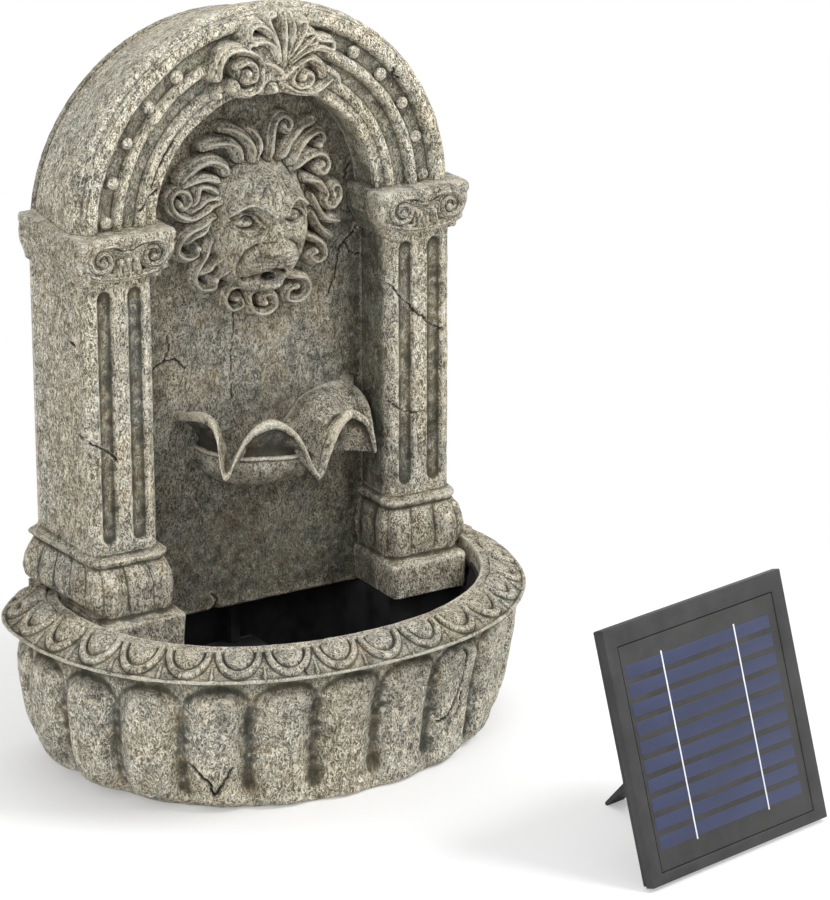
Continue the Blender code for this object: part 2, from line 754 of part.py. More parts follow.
def rounded_block(name, low_z, high_z, inner_x, outer_x, front_y, corner, finish, steps=5):
    """A block of the right side with its two front corners rounded."""
    outline = [(inner_x, COURSE_BACK_Y)]
    outline += arc((inner_x + corner, front_y + corner), corner, math.pi, 1.5 * math.pi, steps)
    outline += arc((outer_x - corner, front_y + corner), corner, 1.5 * math.pi, 2 * math.pi, steps)
    outline += [(outer_x + COLUMN_SPREAD, COURSE_BACK_Y)]
    return plate(name, outline, low_z, high_z, "Z", finish)


def make_column_shaft():
    shaft = rounded_block(
        "column_shaft_right",
        SHAFT_BOTTOM_Z,
        SHAFT_TOP_Z,
        COLUMN_IN,
        COLUMN_OUT,
        COLUMN_FRONT_Y,
        COLUMN_CORNER,
        STONE,
    )
    for side in (-1, 1):
        outline = stadium(
            COLUMN_CENTRE_X + side * FLUTE_SPACING / 2,
            SHAFT_BOTTOM_Z + FLUTE_MARGIN,
            SHAFT_TOP_Z - FLUTE_MARGIN,
            FLUTE_RADIUS,
        )
        flute = plate("flute_cut", outline, COLUMN_FRONT_Y - 0.01, COLUMN_FRONT_Y + FLUTE_DEPTH)
        combine(shaft, flute)
    combine(shaft, hollow_cutter("shaft_hollow", SHAFT_BOTTOM_Z, SHAFT_TOP_Z))
    mirrored(shaft, "column_shaft_left")


def spiral(centre, radius, turns, side, steps=22):
    """A volute's line in the front plane, from its outer end in to its eye."""
    points = []
    for i in range(steps + 1):
        share = i / steps
        angle = math.radians(90) - side * share * turns * 2 * math.pi
        reach = radius * (1 - 0.78 * share)
        points.append((centre[0] + reach * math.cos(angle), centre[1] + reach * math.sin(angle)))
    return points


def make_capital():
    """A bell between two volutes, under an abacus that runs back along the side."""
    bell = rounded_block(
        "capital_right",
        CAPITAL_BOTTOM_Z,
        CAPITAL_TOP_Z - ABACUS_HEIGHT / 2,
        COLUMN_IN - 0.0050,
        COLUMN_OUT + 0.0030,
        COLUMN_FRONT_Y - 0.0040,
        COLUMN_CORNER,
        STONE,
    )
    abacus = box(
        "abacus",
        (CAPITAL_IN, CAPITAL_FRONT_Y, CAPITAL_TOP_Z - ABACUS_HEIGHT),
        (CAPITAL_OUT, COURSE_BACK_Y, CAPITAL_TOP_Z),
        bevel=0.003,
        segments=2,
    )
    combine(bell, abacus, "UNION")
    volute_z = CAPITAL_TOP_Z - ABACUS_HEIGHT / 2 - VOLUTE_RADIUS
    for side in (-1, 1):
        x = COLUMN_CENTRE_X + side * VOLUTE_SPACING / 2
        front = CAPITAL_FRONT_Y + VOLUTE_BEAD
        disc = rod(
            "volute", (x, front, volute_z), (x, front + VOLUTE_THICKNESS, volute_z), VOLUTE_RADIUS, 20
        )
        combine(bell, disc, "UNION")
        line = spiral((x, volute_z), VOLUTE_RADIUS - VOLUTE_BEAD, 1.5, side)
        scroll = tube("scroll", [(px, front, pz) for px, pz in line], VOLUTE_BEAD, 1)
        combine(bell, scroll, "UNION")
    combine(bell, niche_clearance("capital_room", CAPITAL_BOTTOM_Z, CAPITAL_TOP_Z))
    mirrored(bell, "capital_left")


def arch_profile():
    """The arch's section as (radius, y) pairs: three mouldings in front, the barrel outside and the reveal inside."""
    ring = ARCH_RADIUS - ARCH_INNER_RADIUS
    front = ARCH_FRONT_Y
    channel = front + MOULDING_DEPTH
    face = [
        (1.000, front + 0.0040),
        (0.985, front + 0.0012),
        (0.950, front),
        (0.880, front + 0.0006),
        (0.835, front + 0.0030),
        (0.800, channel),
        (0.610, channel),
        (0.580, front + 0.0022),
        (0.530, front + 0.0012),
        (0.475, front + 0.0030),
        (0.450, channel + 0.0005),
        (0.260, channel + 0.0010),
        (0.225, front + 0.0034),
        (0.160, front + 0.0020),
        (0.060, front + 0.0024),
        (0.000, front + 0.0060),
    ]
    outline = [(ARCH_INNER_RADIUS + share * ring, y) for share, y in face]
    outline += [
        (ARCH_INNER_RADIUS, NICHE_Y - GAP),
        (ARCH_INNER_RADIUS + ARCH_WALL, NICHE_Y - GAP),
        (ARCH_INNER_RADIUS + ARCH_WALL, channel + ARCH_WALL),
        (ARCH_RADIUS - ARCH_WALL, channel + ARCH_WALL),
        (BARREL_RADIUS - ARCH_WALL, COURSE_BACK_Y),
        (BARREL_RADIUS - 0.0015, COURSE_BACK_Y),
        (BARREL_RADIUS, COURSE_BACK_Y - 0.0040),
        (SHOULDER_RADIUS, front + SHOULDER_DEPTH),
        (SHOULDER_RADIUS - 0.0020, front + SHOULDER_DEPTH - 0.0060),
    ]
    return outline


def arch_point(radius, y, share):
    """A point of the arch: share runs from 0 at the right springing to 1 at the left. Behind its face, the outer
    skin's centre drops with depth, so that the barrel's crown falls towards the back."""
    centre_z = ARCH_CENTRE_Z
    if radius > ARCH_RADIUS - ARCH_WALL - 0.0001:
        back = (y - ARCH_FRONT_Y) / (COURSE_BACK_Y - ARCH_FRONT_Y)
        centre_z -= BARREL_DROP * max(back, 0.0)
    start = math.asin((SPRINGING_Z - centre_z) / radius)
    angle = start + (math.pi - 2 * start) * share
    return (radius * math.cos(angle), y, centre_z + radius * math.sin(angle))


def make_arch():
    profile = arch_profile()
    rings = [
        [arch_point(radius, y, i / ARCH_STEPS) for radius, y in profile]
        for i in range(ARCH_STEPS + 1)
    ]
    arch = loft("arch", rings, STONE)
    beads = bmesh.new()
    for side in (-1, 1):
        for i in range(BEADS_PER_SIDE):
            angle = FIRST_BEAD + BEAD_PITCH * i
            place = Matrix.Translation(
                (
                    side * BEAD_CIRCLE * math.cos(angle),
                    ARCH_FRONT_Y + MOULDING_DEPTH,
                    ARCH_CENTRE_Z + BEAD_CIRCLE * math.sin(angle),
                )
            )
            bmesh.ops.create_icosphere(beads, subdivisions=1, radius=BEAD_RADIUS, matrix=place)
    combine(arch, from_bmesh("beads", beads), "UNION")


def make_niche():
    half = COLUMN_IN - GAP
    outline = [(half, NICHE_BOTTOM_Z)]
    outline += arc((0.0, ARCH_CENTRE_Z), half, 0, math.pi, 24)
    outline += [(-half, NICHE_BOTTOM_Z)]
    niche = plate("niche_panel", outline, NICHE_Y, NICHE_BACK_Y, "Y", STONE)
    hole = rod(
        "pipe_hole",
        (0.0, NICHE_Y - 0.01, SPOUT_Z),
        (0.0, NICHE_BACK_Y + 0.01, SPOUT_Z),
        PIPE_RADIUS + GAP,
        20,
    )
    combine(niche, hole)


def make_back():
    outline = [(BARREL_RADIUS, PLINTH_BOTTOM_Z)]
    outline += arc((0.0, BARREL_CENTRE_Z), BARREL_RADIUS, 0, math.pi, 32)
    outline += [(-BARREL_RADIUS, PLINTH_BOTTOM_Z)]
    back = plate("back_panel", outline, PANEL_FRONT_Y, BACK_Y, "Y", DARK_STONE)
    access = box(
        "access_cut",
        (-ACCESS_HALF_WIDTH, PANEL_FRONT_Y - 0.01, ACCESS_BOTTOM_Z),
        (ACCESS_HALF_WIDTH, BACK_Y + 0.01, ACCESS_BOTTOM_Z + ACCESS_HEIGHT),
    )
    combine(back, access)
    hole = rod(
        "grommet_hole",
        (GROMMET_X, PANEL_FRONT_Y - 0.01, GROMMET_Z),
        (GROMMET_X, BACK_Y + 0.01, GROMMET_Z),
        GROMMET_RADIUS,
        24,
    )
    combine(back, hole)
    make_rear_cover()
    make_grommet()


def make_rear_cover():
    """A plug-in lid with a finger hollow in its top edge."""
    half = ACCESS_HALF_WIDTH - GAP
    low = ACCESS_BOTTOM_Z + GAP
    high = ACCESS_BOTTOM_Z + ACCESS_HEIGHT - GAP
    outer = BACK_Y - 0.0005
    cover = box(
        "rear_cover",
        (-half, outer - COVER_THICKNESS, low),
        (half, outer, high),
        BLACK_PLASTIC,
        bevel=0.0006,
        segments=1,
    )
    skirt = box(
        "skirt",
        (-half + 0.001, outer - COVER_THICKNESS - COVER_FLANGE, low + 0.001),
        (half - 0.001, outer - COVER_THICKNESS + 0.0005, high - 0.001),
    )
    inside = box(
        "skirt_cut",
        (-half + 0.003, outer - COVER_THICKNESS - COVER_FLANGE - 0.01, low + 0.003),
        (half - 0.003, outer - COVER_THICKNESS, high - 0.003),
    )
    combine(cover, skirt, "UNION")
    combine(cover, inside)
    finger = rod("finger_cut", (0.0, outer - 0.0016, high), (0.0, outer + 0.01, high), FINGER_RADIUS, 20)
    combine(cover, finger)


def make_grommet():
    flange = GROMMET_RADIUS + 0.0025
    neck = GROMMET_RADIUS - GAP
    bore = 0.0022
    profile = [
        (bore, 0.0028),
        (flange - 0.001, 0.0028),
        (flange, 0.0018),
        (flange, GAP),
        (neck, GAP),
        (neck, -BACK_PANEL - 0.001),
        (bore, -BACK_PANEL - 0.001),
        (bore, 0.0028),
    ]
    facing_back = Matrix.Rotation(math.radians(-90), 4, "X")
    place = Matrix.Translation((GROMMET_X, BACK_Y, GROMMET_Z)) @ facing_back
    turned("cable_grommet", profile, place, 20, SOFT_RUBBER)


def relief(name, centre_z, radius_at, height_at, rings, points, back_y, edge, finish):
    """A carved relief on a flat back: rings spread from its middle to its outline, each point at its own height."""
    levels = []
    for i in range(rings + 1):
        share = 0.02 + 0.98 * i / rings
        ring = []
        for j in range(points):
            angle = 2 * math.pi * j / points
            reach = radius_at(angle) * share
            x, z = reach * math.cos(angle), centre_z + reach * math.sin(angle)
            ring.append((x, back_y - max(height_at(x, z, share), edge), z))
        levels.append(ring)
    outline = levels[-1]
    levels.append([(x, back_y, z) for x, y, z in outline])
    return loft(name, levels, finish)


def mane_radius(angle):
    """The mane's outline: an upright oval whose locks end in round tips."""
    across, up = math.cos(angle), math.sin(angle)
    oval = 1 / math.hypot(across / MANE_HALF_WIDTH, up / MANE_HALF_HEIGHT)
    lock = abs(math.sin(MANE_LOCKS * angle / 2))
    return oval * (0.90 + 0.10 * lock**0.6)


def lion_height(x, z, share):
    """How far the mask stands out of the wall: locks that sweep outwards, then the face with its muzzle."""
    up = z - LION_CENTRE_Z
    angle = math.atan2(up, x)
    swirl = angle + 0.35 * share * (1 if x > 0 else -1)
    lock = abs(math.sin(MANE_LOCKS * swirl / 2)) ** 0.7
    mane = 0.010 + 0.013 * (1 - share**2) + 0.0045 * lock * smooth_step((share - 0.35) / 0.3)
    mirror_x = abs(x)
    face = smooth_step((1 - math.hypot(x / 0.037, (z - 0.366) / 0.047)) / 0.55)
    height = mane + face * 0.0095
    height += 0.0150 * bump(x, z, (0.0, 0.3500), (0.0150, 0.0125))
    height += 0.0060 * bump(mirror_x, z, (0.0085, 0.3475), (0.0080, 0.0070))
    height += 0.0075 * bump(x, z, (0.0, 0.3590), (0.0075, 0.0060))
    height += 0.0070 * bump(x, z, (0.0, 0.3780), (0.0070, 0.0160))
    height += 0.0060 * bump(mirror_x, z, (0.0150, 0.3900), (0.0100, 0.0055))
    height -= 0.0065 * bump(mirror_x, z, (0.0175, 0.3795), (0.0070, 0.0048))
    height += 0.0030 * bump(mirror_x, z, (0.0175, 0.3790), (0.0045, 0.0028))
    height -= 0.0130 * bump(x, z, (0.0, 0.3355), (0.0110, 0.0036))
    height += 0.0060 * bump(x, z, (0.0, 0.3270), (0.0100, 0.0050))
    return min(height, LION_PROJECTION)


def make_lion():
    back = NICHE_Y - GAP
    lion = relief(
        "lion_mask", LION_CENTRE_Z, mane_radius, lion_height, 18, 64, back, LION_EDGE, STONE
    )
    bore = rod("mouth_cut", (0.0, -0.05, SPOUT_Z), (0.0, back + 0.01, SPOUT_Z), PIPE_RADIUS + GAP, 16)
    combine(lion, bore)


def crest_radius(angle):
    """The crest's outline: leaf tips above, a scroll at each side, a small rosette below."""
    across, up = math.cos(angle), math.sin(angle)
    reach = CREST_RISE if up > 0 else CREST_DROP
    oval = 1 / math.hypot(across / CREST_HALF_WIDTH, up / reach)
    if up > 0.25:
        leaf = abs(math.cos(CREST_LEAVES * (angle - math.pi / 2) * 1.15 / 2))
        return oval * (0.84 + 0.16 * leaf)
    return oval * (0.84 + 0.16 * smooth_step(abs(up) / 0.25))


def crest_height(x, z, share):
    """Leaves fan out from the rosette, thick and rounded, between the two scrolls."""
    up = z - CREST_CENTRE_Z
    angle = math.atan2(up + 0.008, x)
    leaf = abs(math.cos(CREST_LEAVES * (angle - math.pi / 2) * 1.15 / 2))
    fan = smooth_step((up + 0.004) / 0.012)
    height = 0.0085 + 0.0045 * (1 - share) + fan * 0.0035 * leaf
    scroll = math.hypot(abs(x) - 0.0275, up + 0.0020)
    height += 0.0055 * math.exp(-((scroll / 0.0120) ** 4))
    height -= 0.0035 * math.exp(-(((scroll - 0.0072) / 0.0020) ** 2))
    height += 0.0050 * bump(x, z, (0.0, CREST_CENTRE_Z - 0.0130), (0.0060, 0.0060))
    return height


def make_crest():
    relief(
        "crest",
        CREST_CENTRE_Z,
        crest_radius,
        crest_height,
        9,
        48,
        ARCH_FRONT_Y - GAP,
        0.004,
        STONE,
    )


def bowl_point(turn, depth, inset):
    """A point of the bowl. Turn is measured from straight ahead; depth runs from 0 at the ruffled rim to 1 at the
    bottom; inset moves it inwards by the wall. The rim rises in three arches with a fold between each two."""
    arch = abs(math.cos(3 * turn))
    fade = (1 - smooth_step(depth / 0.62)) ** 1.2
    reach = math.cos(math.radians(90) * depth**1.25)
    flare = BOWL_FLARE * (1 - arch) * fade
    side = BOWL_HALF_WIDTH * reach + flare - inset
    front = BOWL_REACH * reach + flare - inset
    z = BOWL_SPOUT_Z + BOWL_WAVE * arch * fade - BOWL_DEPTH * math.sin(math.radians(90) * depth)
    wall = NICHE_Y - GAP
    return (
        BOWL_X + max(side, 0.0) * math.sin(turn),
        wall - max(front, 0.0) * math.cos(turn),
        z + 0.85 * inset * depth,
    )


def make_bowl():
    """The whole round bowl, cut off flat where it meets the niche wall."""
    turns = [2 * math.pi * j / BOWL_STEPS for j in range(BOWL_STEPS)]
    rings = []
    for depth in [0.985 - 0.985 * i / 8 for i in range(9)]:
        rings.append([bowl_point(turn, depth, 0.0) for turn in turns])
    for depth in [0.90 * i / 7 for i in range(8)]:
        rings.append([bowl_point(turn, depth, BOWL_WALL) for turn in turns])
    bowl = loft("scallop_bowl", rings, STONE)
    behind = box(
        "wall_cut",
        (-0.2, NICHE_Y - GAP, BOWL_SPOUT_Z - 0.1),
        (0.2, NICHE_Y + 0.2, BOWL_SPOUT_Z + 0.1),
    )
    combine(bowl, behind)


def make_spout():
    """The pipe through the wall, with the collar that stops it behind the niche."""
    collar_front = NICHE_BACK_Y + GAP
    length_in = collar_front - PIPE_TIP_Y
    tail = HOSE_Y - HOSE_BEND - collar_front
    profile = [
        (PIPE_BORE, tail),
        (PIPE_RADIUS, tail),
        (PIPE_RADIUS, PIPE_COLLAR),
        (PIPE_COLLAR_RADIUS, PIPE_COLLAR),
        (PIPE_COLLAR_RADIUS, 0.0),
        (PIPE_RADIUS, 0.0),
        (PIPE_RADIUS, -length_in),
        (PIPE_BORE, -length_in),
        (PIPE_BORE, tail),
    ]
    facing_back = Matrix.Rotation(math.radians(-90), 4, "X")
    place = Matrix.Translation((0.0, collar_front, SPOUT_Z)) @ facing_back
    turned("spout_pipe", profile, place, 16, BLACK_PLASTIC)


def make_hose():
    """From the pump's nozzle up behind the niche, and over to the pipe."""
    start_z = PUMP_TOP_Z + 0.0015
    bend_start_z = SPOUT_Z - HOSE_BEND
    centre_y = HOSE_Y - HOSE_BEND
    end_y = NICHE_BACK_Y + 2 * GAP + PIPE_COLLAR
    points = [(0.0, HOSE_Y, start_z), (0.0, HOSE_Y, (start_z + bend_start_z) / 2)]
    for i in range(7):
        turn = math.radians(90) * i / 6
        points.append(
            (
                0.0,
                centre_y + HOSE_BEND * math.cos(turn),
                bend_start_z + HOSE_BEND * math.sin(turn),
            )
        )
    points.append((0.0, end_y, SPOUT_Z))
    tube("riser_hose", points, HOSE_RADIUS, 2, HOSE_BLACK, HOSE_WALL)


def make_pump():
    chamber_front = PUMP_REAR_Y - IMPELLER_LENGTH - 0.0030
    magnet_front = chamber_front - MAGNET_LENGTH - 0.0010
    half = PUMP_WIDTH / 2
    body = box(
        "pump_body",
        (-half, PUMP_FRONT_Y, PUMP_BOTTOM_Z),
        (half, PUMP_REAR_Y, PUMP_TOP_Z),
        PUMP_PLASTIC,
        bevel=0.003,
        segments=2,
    )
    axis = (0.0, PUMP_AXIS_Z)
    nozzle = rod(
        "nozzle",
        (axis[0], HOSE_Y, PUMP_TOP_Z - 0.004),
        (axis[0], HOSE_Y, PUMP_TOP_Z + NOZZLE_HEIGHT),
        PIPE_RADIUS,
        16,
    )
    combine(body, nozzle, "UNION")
    chamber = rod(
        "chamber_cut",
        (0.0, chamber_front, PUMP_AXIS_Z),
        (0.0, PUMP_REAR_Y + 0.01, PUMP_AXIS_Z),
        IMPELLER_RADIUS + 0.0015,
        28,
    )
    combine(body, chamber)
    magnet_bore = rod(
        "magnet_cut",
        (0.0, magnet_front, PUMP_AXIS_Z),
        (0.0, PUMP_REAR_Y, PUMP_AXIS_Z),
        MAGNET_RADIUS + 0.0006,
        24,
    )
    combine(body, magnet_bore)
    pin_seat = rod(
        "pin_cut",
        (0.0, magnet_front - 0.002, PUMP_AXIS_Z),
        (0.0, PUMP_REAR_Y, PUMP_AXIS_Z),
        IMPELLER_PIN_RADIUS + SHAFT_CLEARANCE,
        16,
    )
    combine(body, pin_seat)
    outlet = rod(
        "outlet_cut",
        (0.0, HOSE_Y, PUMP_AXIS_Z),
        (0.0, HOSE_Y, PUMP_TOP_Z + NOZZLE_HEIGHT + 0.01),
        PIPE_BORE,
        12,
    )
    combine(body, outlet)
    make_rotor(chamber_front, magnet_front)
    make_pump_cover()
    make_cups()


def make_rotor(chamber_front, magnet_front):
    """Blades in the chamber and the magnet in its bore, on a pin that stands still."""
    hub = MAGNET_RADIUS
    outline = []
    for i in range(IMPELLER_BLADES):
        middle = 2 * math.pi * i / IMPELLER_BLADES
        for offset, radius in ((-0.38, hub), (-0.09, IMPELLER_RADIUS), (0.09, IMPELLER_RADIUS), (0.38, hub)):
            turn = middle + offset
            outline.append((radius * math.cos(turn), PUMP_AXIS_Z + radius * math.sin(turn)))
    blade_front = chamber_front + 0.0010
    impeller = plate(
        "impeller", outline, blade_front, blade_front + IMPELLER_LENGTH, "Y", PUMP_PLASTIC
    )
    magnet = rod(
        "magnet",
        (0.0, magnet_front + 0.0005, PUMP_AXIS_Z),
        (0.0, blade_front + 0.001, PUMP_AXIS_Z),
        MAGNET_RADIUS,
        24,
    )
    combine(impeller, magnet, "UNION")
    pin_bore = rod(
        "rotor_bore",
        (0.0, magnet_front - 0.01, PUMP_AXIS_Z),
        (0.0, PUMP_REAR_Y + 0.01, PUMP_AXIS_Z),
        IMPELLER_PIN_RADIUS + SHAFT_CLEARANCE,
        16,
    )
    combine(impeller, pin_bore)
    rod(
        "impeller_shaft",
        (0.0, magnet_front - 0.002 + GAP, PUMP_AXIS_Z),
        (0.0, PUMP_REAR_Y + GAP + PUMP_COVER / 2 - GAP, PUMP_AXIS_Z),
        IMPELLER_PIN_RADIUS,
        16,
        CERAMIC,
    )


def make_pump_cover():
    """The grille over the chamber, with the stub that the flow dial turns on."""
    half = PUMP_WIDTH / 2 - 0.001
    near = PUMP_REAR_Y + GAP
    far = near + PUMP_COVER
    cover = box(
        "pump_cover",
        (-half, near, PUMP_BOTTOM_Z + 0.001),
        (half, far, PUMP_TOP_Z - 0.001),
        PUMP_PLASTIC,
        bevel=0.001,
        segments=1,
    )
    for i in range(5):
        if i == 2:
            continue
        x = (i - 2) * 0.0062
        outline = stadium(x, PUMP_AXIS_Z - 0.011, PUMP_AXIS_Z + 0.011, 0.0012, 4)
        combine(cover, plate("slot_cut", outline, near - 0.01, far + 0.01))
    pin_seat = rod(
        "cover_pin_cut",
        (0.0, near - 0.01, PUMP_AXIS_Z),
        (0.0, near + PUMP_COVER / 2, PUMP_AXIS_Z),
        IMPELLER_PIN_RADIUS + SHAFT_CLEARANCE,
        16,
    )
    combine(cover, pin_seat)
    dial_z = PUMP_AXIS_Z
    stub = rod(
        "stub",
        (0.0, far - 0.0005, dial_z),
        (0.0, far + GAP + DIAL_THICKNESS, dial_z),
        IMPELLER_PIN_RADIUS,
        16,
    )
    combine(cover, stub, "UNION")
    dial = rod(
        "flow_dial",
        (0.0, far + GAP, dial_z),
        (0.0, far + GAP + DIAL_THICKNESS, dial_z),
        DIAL_RADIUS,
        24,
        BLACK_PLASTIC,
    )
    lever = box(
        "lever",
        (-0.0012, far + GAP, dial_z + DIAL_RADIUS - 0.001),
        (0.0012, far + GAP + DIAL_THICKNESS, dial_z + DIAL_RADIUS + 0.0030),
    )
    combine(dial, lever, "UNION")
    bore = rod(
        "dial_bore",
        (0.0, far - 0.01, dial_z),
        (0.0, far + 0.01, dial_z),
        IMPELLER_PIN_RADIUS + SHAFT_CLEARANCE,
        16,
    )
    combine(dial, bore)


def make_cups():
    radius = SUCTION_CUP_RADIUS
    top = SUCTION_CUP_HEIGHT
    profile = [
        (0.0, top),
        (radius * 0.42, top),
        (radius * 0.42, top * 0.55),
        (radius * 0.72, top * 0.34),
        (radius, 0.0),
        (radius * 0.86, 0.0),
        (radius * 0.45, top * 0.22),
        (0.0, top * 0.26),
    ]
    number = 0
    for across in (-1, 1):
        for y in (PUMP_FRONT_Y + 0.009, PUMP_REAR_Y - 0.009):
            number += 1
            place = Matrix.Translation((across * 0.0115, y, LINER_FLOOR_Z + GAP))
            turned(f"suction_cup_{number}", profile, place, 16, SOFT_RUBBER)


def solar_frame_place():
    """The solar panel's own frame: x along its width, z up its slanted front, y into its depth. It stands on the
    rear edge of its bottom."""
    lean = Matrix.Rotation(-SOLAR_LEAN, 4, "X")
    yaw = Matrix.Rotation(SOLAR_YAW, 4, "Z")
    lift = SOLAR_DEPTH * math.sin(SOLAR_LEAN)
    corner = Matrix.Translation((SOLAR_CORNER[0], SOLAR_CORNER[1], lift))
    return corner @ yaw @ lean


def parented(item, holder):
    item.parent = holder
    return item


def make_solar():
    holder = bpy.data.objects.new("solar_panel_place", None)
    PARTS.objects.link(holder)
    holder.matrix_world = solar_frame_place()
    bpy.context.view_layer.update()
    back_y = SOLAR_DEPTH - SOLAR_BACK
    frame = box(
        "solar_frame",
        (0.0, 0.0, 0.0),
        (SOLAR_WIDTH, back_y - GAP, SOLAR_HEIGHT),
        BLACK_PLASTIC,
        bevel=0.0012,
        segments=2,
    )
    recess = box(
        "recess_cut",
        (SOLAR_LIP, -0.01, SOLAR_LIP),
        (SOLAR_WIDTH - SOLAR_LIP, SOLAR_RECESS + GAP, SOLAR_HEIGHT - SOLAR_LIP),
    )
    combine(frame, recess)
    pocket = box(
        "pocket_cut",
        (SOLAR_LIP - 0.003, SOLAR_RECESS, SOLAR_LIP - 0.003),
        (SOLAR_WIDTH - SOLAR_LIP + 0.003, SOLAR_DEPTH, SOLAR_HEIGHT - SOLAR_LIP + 0.003),
    )
    combine(frame, pocket)
    glass = box(
        "solar_glass",
        (SOLAR_LIP - 0.003 + GAP, SOLAR_RECESS + GAP, SOLAR_LIP - 0.003 + GAP),
        (
            SOLAR_WIDTH - SOLAR_LIP + 0.003 - GAP,
            SOLAR_RECESS + GAP + SOLAR_GLASS,
            SOLAR_HEIGHT - SOLAR_LIP + 0.003 - GAP,
        ),
        GLASS,
    )
    pieces = [frame, glass]
    pieces += make_cells()
    pieces += make_solar_back(back_y)
    for item in pieces:
        parented(item, holder)


def make_cells():
    """Ten strips of cells behind the glass, and the sheet that carries them."""
    near = SOLAR_RECESS + 2 * GAP + SOLAR_GLASS
    left = CELL_SIDE_MARGIN
    bottom = CELL_END_MARGIN
    field_width = SOLAR_WIDTH - 2 * CELL_SIDE_MARGIN
    field_height = SOLAR_HEIGHT - 2 * CELL_END_MARGIN
    sheet = box(
        "solar_cells",
        (left - 0.004, near + CELL_THICKNESS, bottom - 0.004),
        (
            left + field_width + 0.004,
            near + 2 * CELL_THICKNESS,
            bottom + field_height + 0.004,
        ),
        CELL_BLUE,
    )
    pitch = (field_height + CELL_STRIP_GAP) / CELL_STRIPS
    strips = bmesh.new()
    for i in range(CELL_STRIPS):
        low = bottom + pitch * i
        size = Vector((field_width, 1.5 * CELL_THICKNESS, pitch - CELL_STRIP_GAP))
        middle = Vector((left, near, low)) + size / 2
        place = Matrix.Translation(middle) @ Matrix.Diagonal((*size, 1.0))
        bmesh.ops.create_cube(strips, size=1.0, matrix=place)
    combine(sheet, from_bmesh("strips", strips), "UNION")
    return [sheet]


def make_solar_back(back_y):
    """The back tray with the ears of the leg, its pin, the leg, the cable gland and four screws."""
    tray = box(
        "solar_back",
        (0.0012, back_y, 0.0012),
        (SOLAR_WIDTH - 0.0012, SOLAR_DEPTH, SOLAR_HEIGHT - 0.0012),
        BLACK_PLASTIC,
        bevel=0.0008,
        segments=1,
    )
    middle = SOLAR_WIDTH / 2
    pivot_y = SOLAR_DEPTH + LEG_BARREL + 2 * GAP
    pivot = (pivot_y, LEG_PIVOT_HEIGHT)
    for side in (-1, 1):
        near = LEG_WIDTH / 2 + GAP
        low_x = middle + min(side * near, side * (near + EAR_THICKNESS))
        outline = [(SOLAR_DEPTH - 0.001, pivot[1] - LEG_BARREL), (pivot[0], pivot[1] - LEG_BARREL)]
        outline += arc(pivot, LEG_BARREL, -math.pi / 2, math.pi / 2, 8)[1:]
        outline += [(SOLAR_DEPTH - 0.001, pivot[1] + LEG_BARREL)]
        ear = plate("ear", outline, low_x, low_x + EAR_THICKNESS, "X")
        combine(tray, ear, "UNION")
    reach = LEG_WIDTH / 2 + GAP + EAR_THICKNESS
    pin_hole = rod(
        "ear_cut",
        (middle - reach - 0.01, *pivot),
        (middle + reach + 0.01, *pivot),
        LEG_PIN_RADIUS + SHAFT_CLEARANCE,
        16,
    )
    combine(tray, pin_hole)
    pin = rod(
        "leg_pin", (middle - reach, *pivot), (middle + reach, *pivot), LEG_PIN_RADIUS, 16, STEEL
    )
    leg = make_leg(middle, pivot)
    gland = rod(
        "solar_gland",
        (GLAND_INSET, SOLAR_DEPTH + GAP, GLAND_INSET),
        (GLAND_INSET, SOLAR_DEPTH + GAP + GLAND_LENGTH, GLAND_INSET),
        GLAND_RADIUS,
        16,
        SOFT_RUBBER,
        GLAND_RADIUS - 0.0013,
    )
    made = [tray, pin, leg, gland]
    number = 0
    for x in (SCREW_INSET, SOLAR_WIDTH - SCREW_INSET):
        for z in (SCREW_INSET, SOLAR_HEIGHT - SCREW_INSET):
            number += 1
            made.append(
                rod(
                    f"back_screw_{number}",
                    (x, SOLAR_DEPTH + GAP, z),
                    (x, SOLAR_DEPTH + GAP + SCREW_HEAD, z),
                    SCREW_RADIUS,
                    16,
                    STEEL,
                    SCREW_RADIUS * 0.8,
                )
            )
    return made


def leg_open_angle():
    """The angle between the panel's back and the leg at which the leg's end is on the ground."""
    pivot_y = SOLAR_DEPTH + LEG_BARREL + 2 * GAP
    height = LEG_PIVOT_HEIGHT * math.cos(SOLAR_LEAN) - pivot_y * math.sin(SOLAR_LEAN)
    height += SOLAR_DEPTH * math.sin(SOLAR_LEAN)
    from_upright = math.acos(height / LEG_LENGTH)
    return from_upright + SOLAR_LEAN


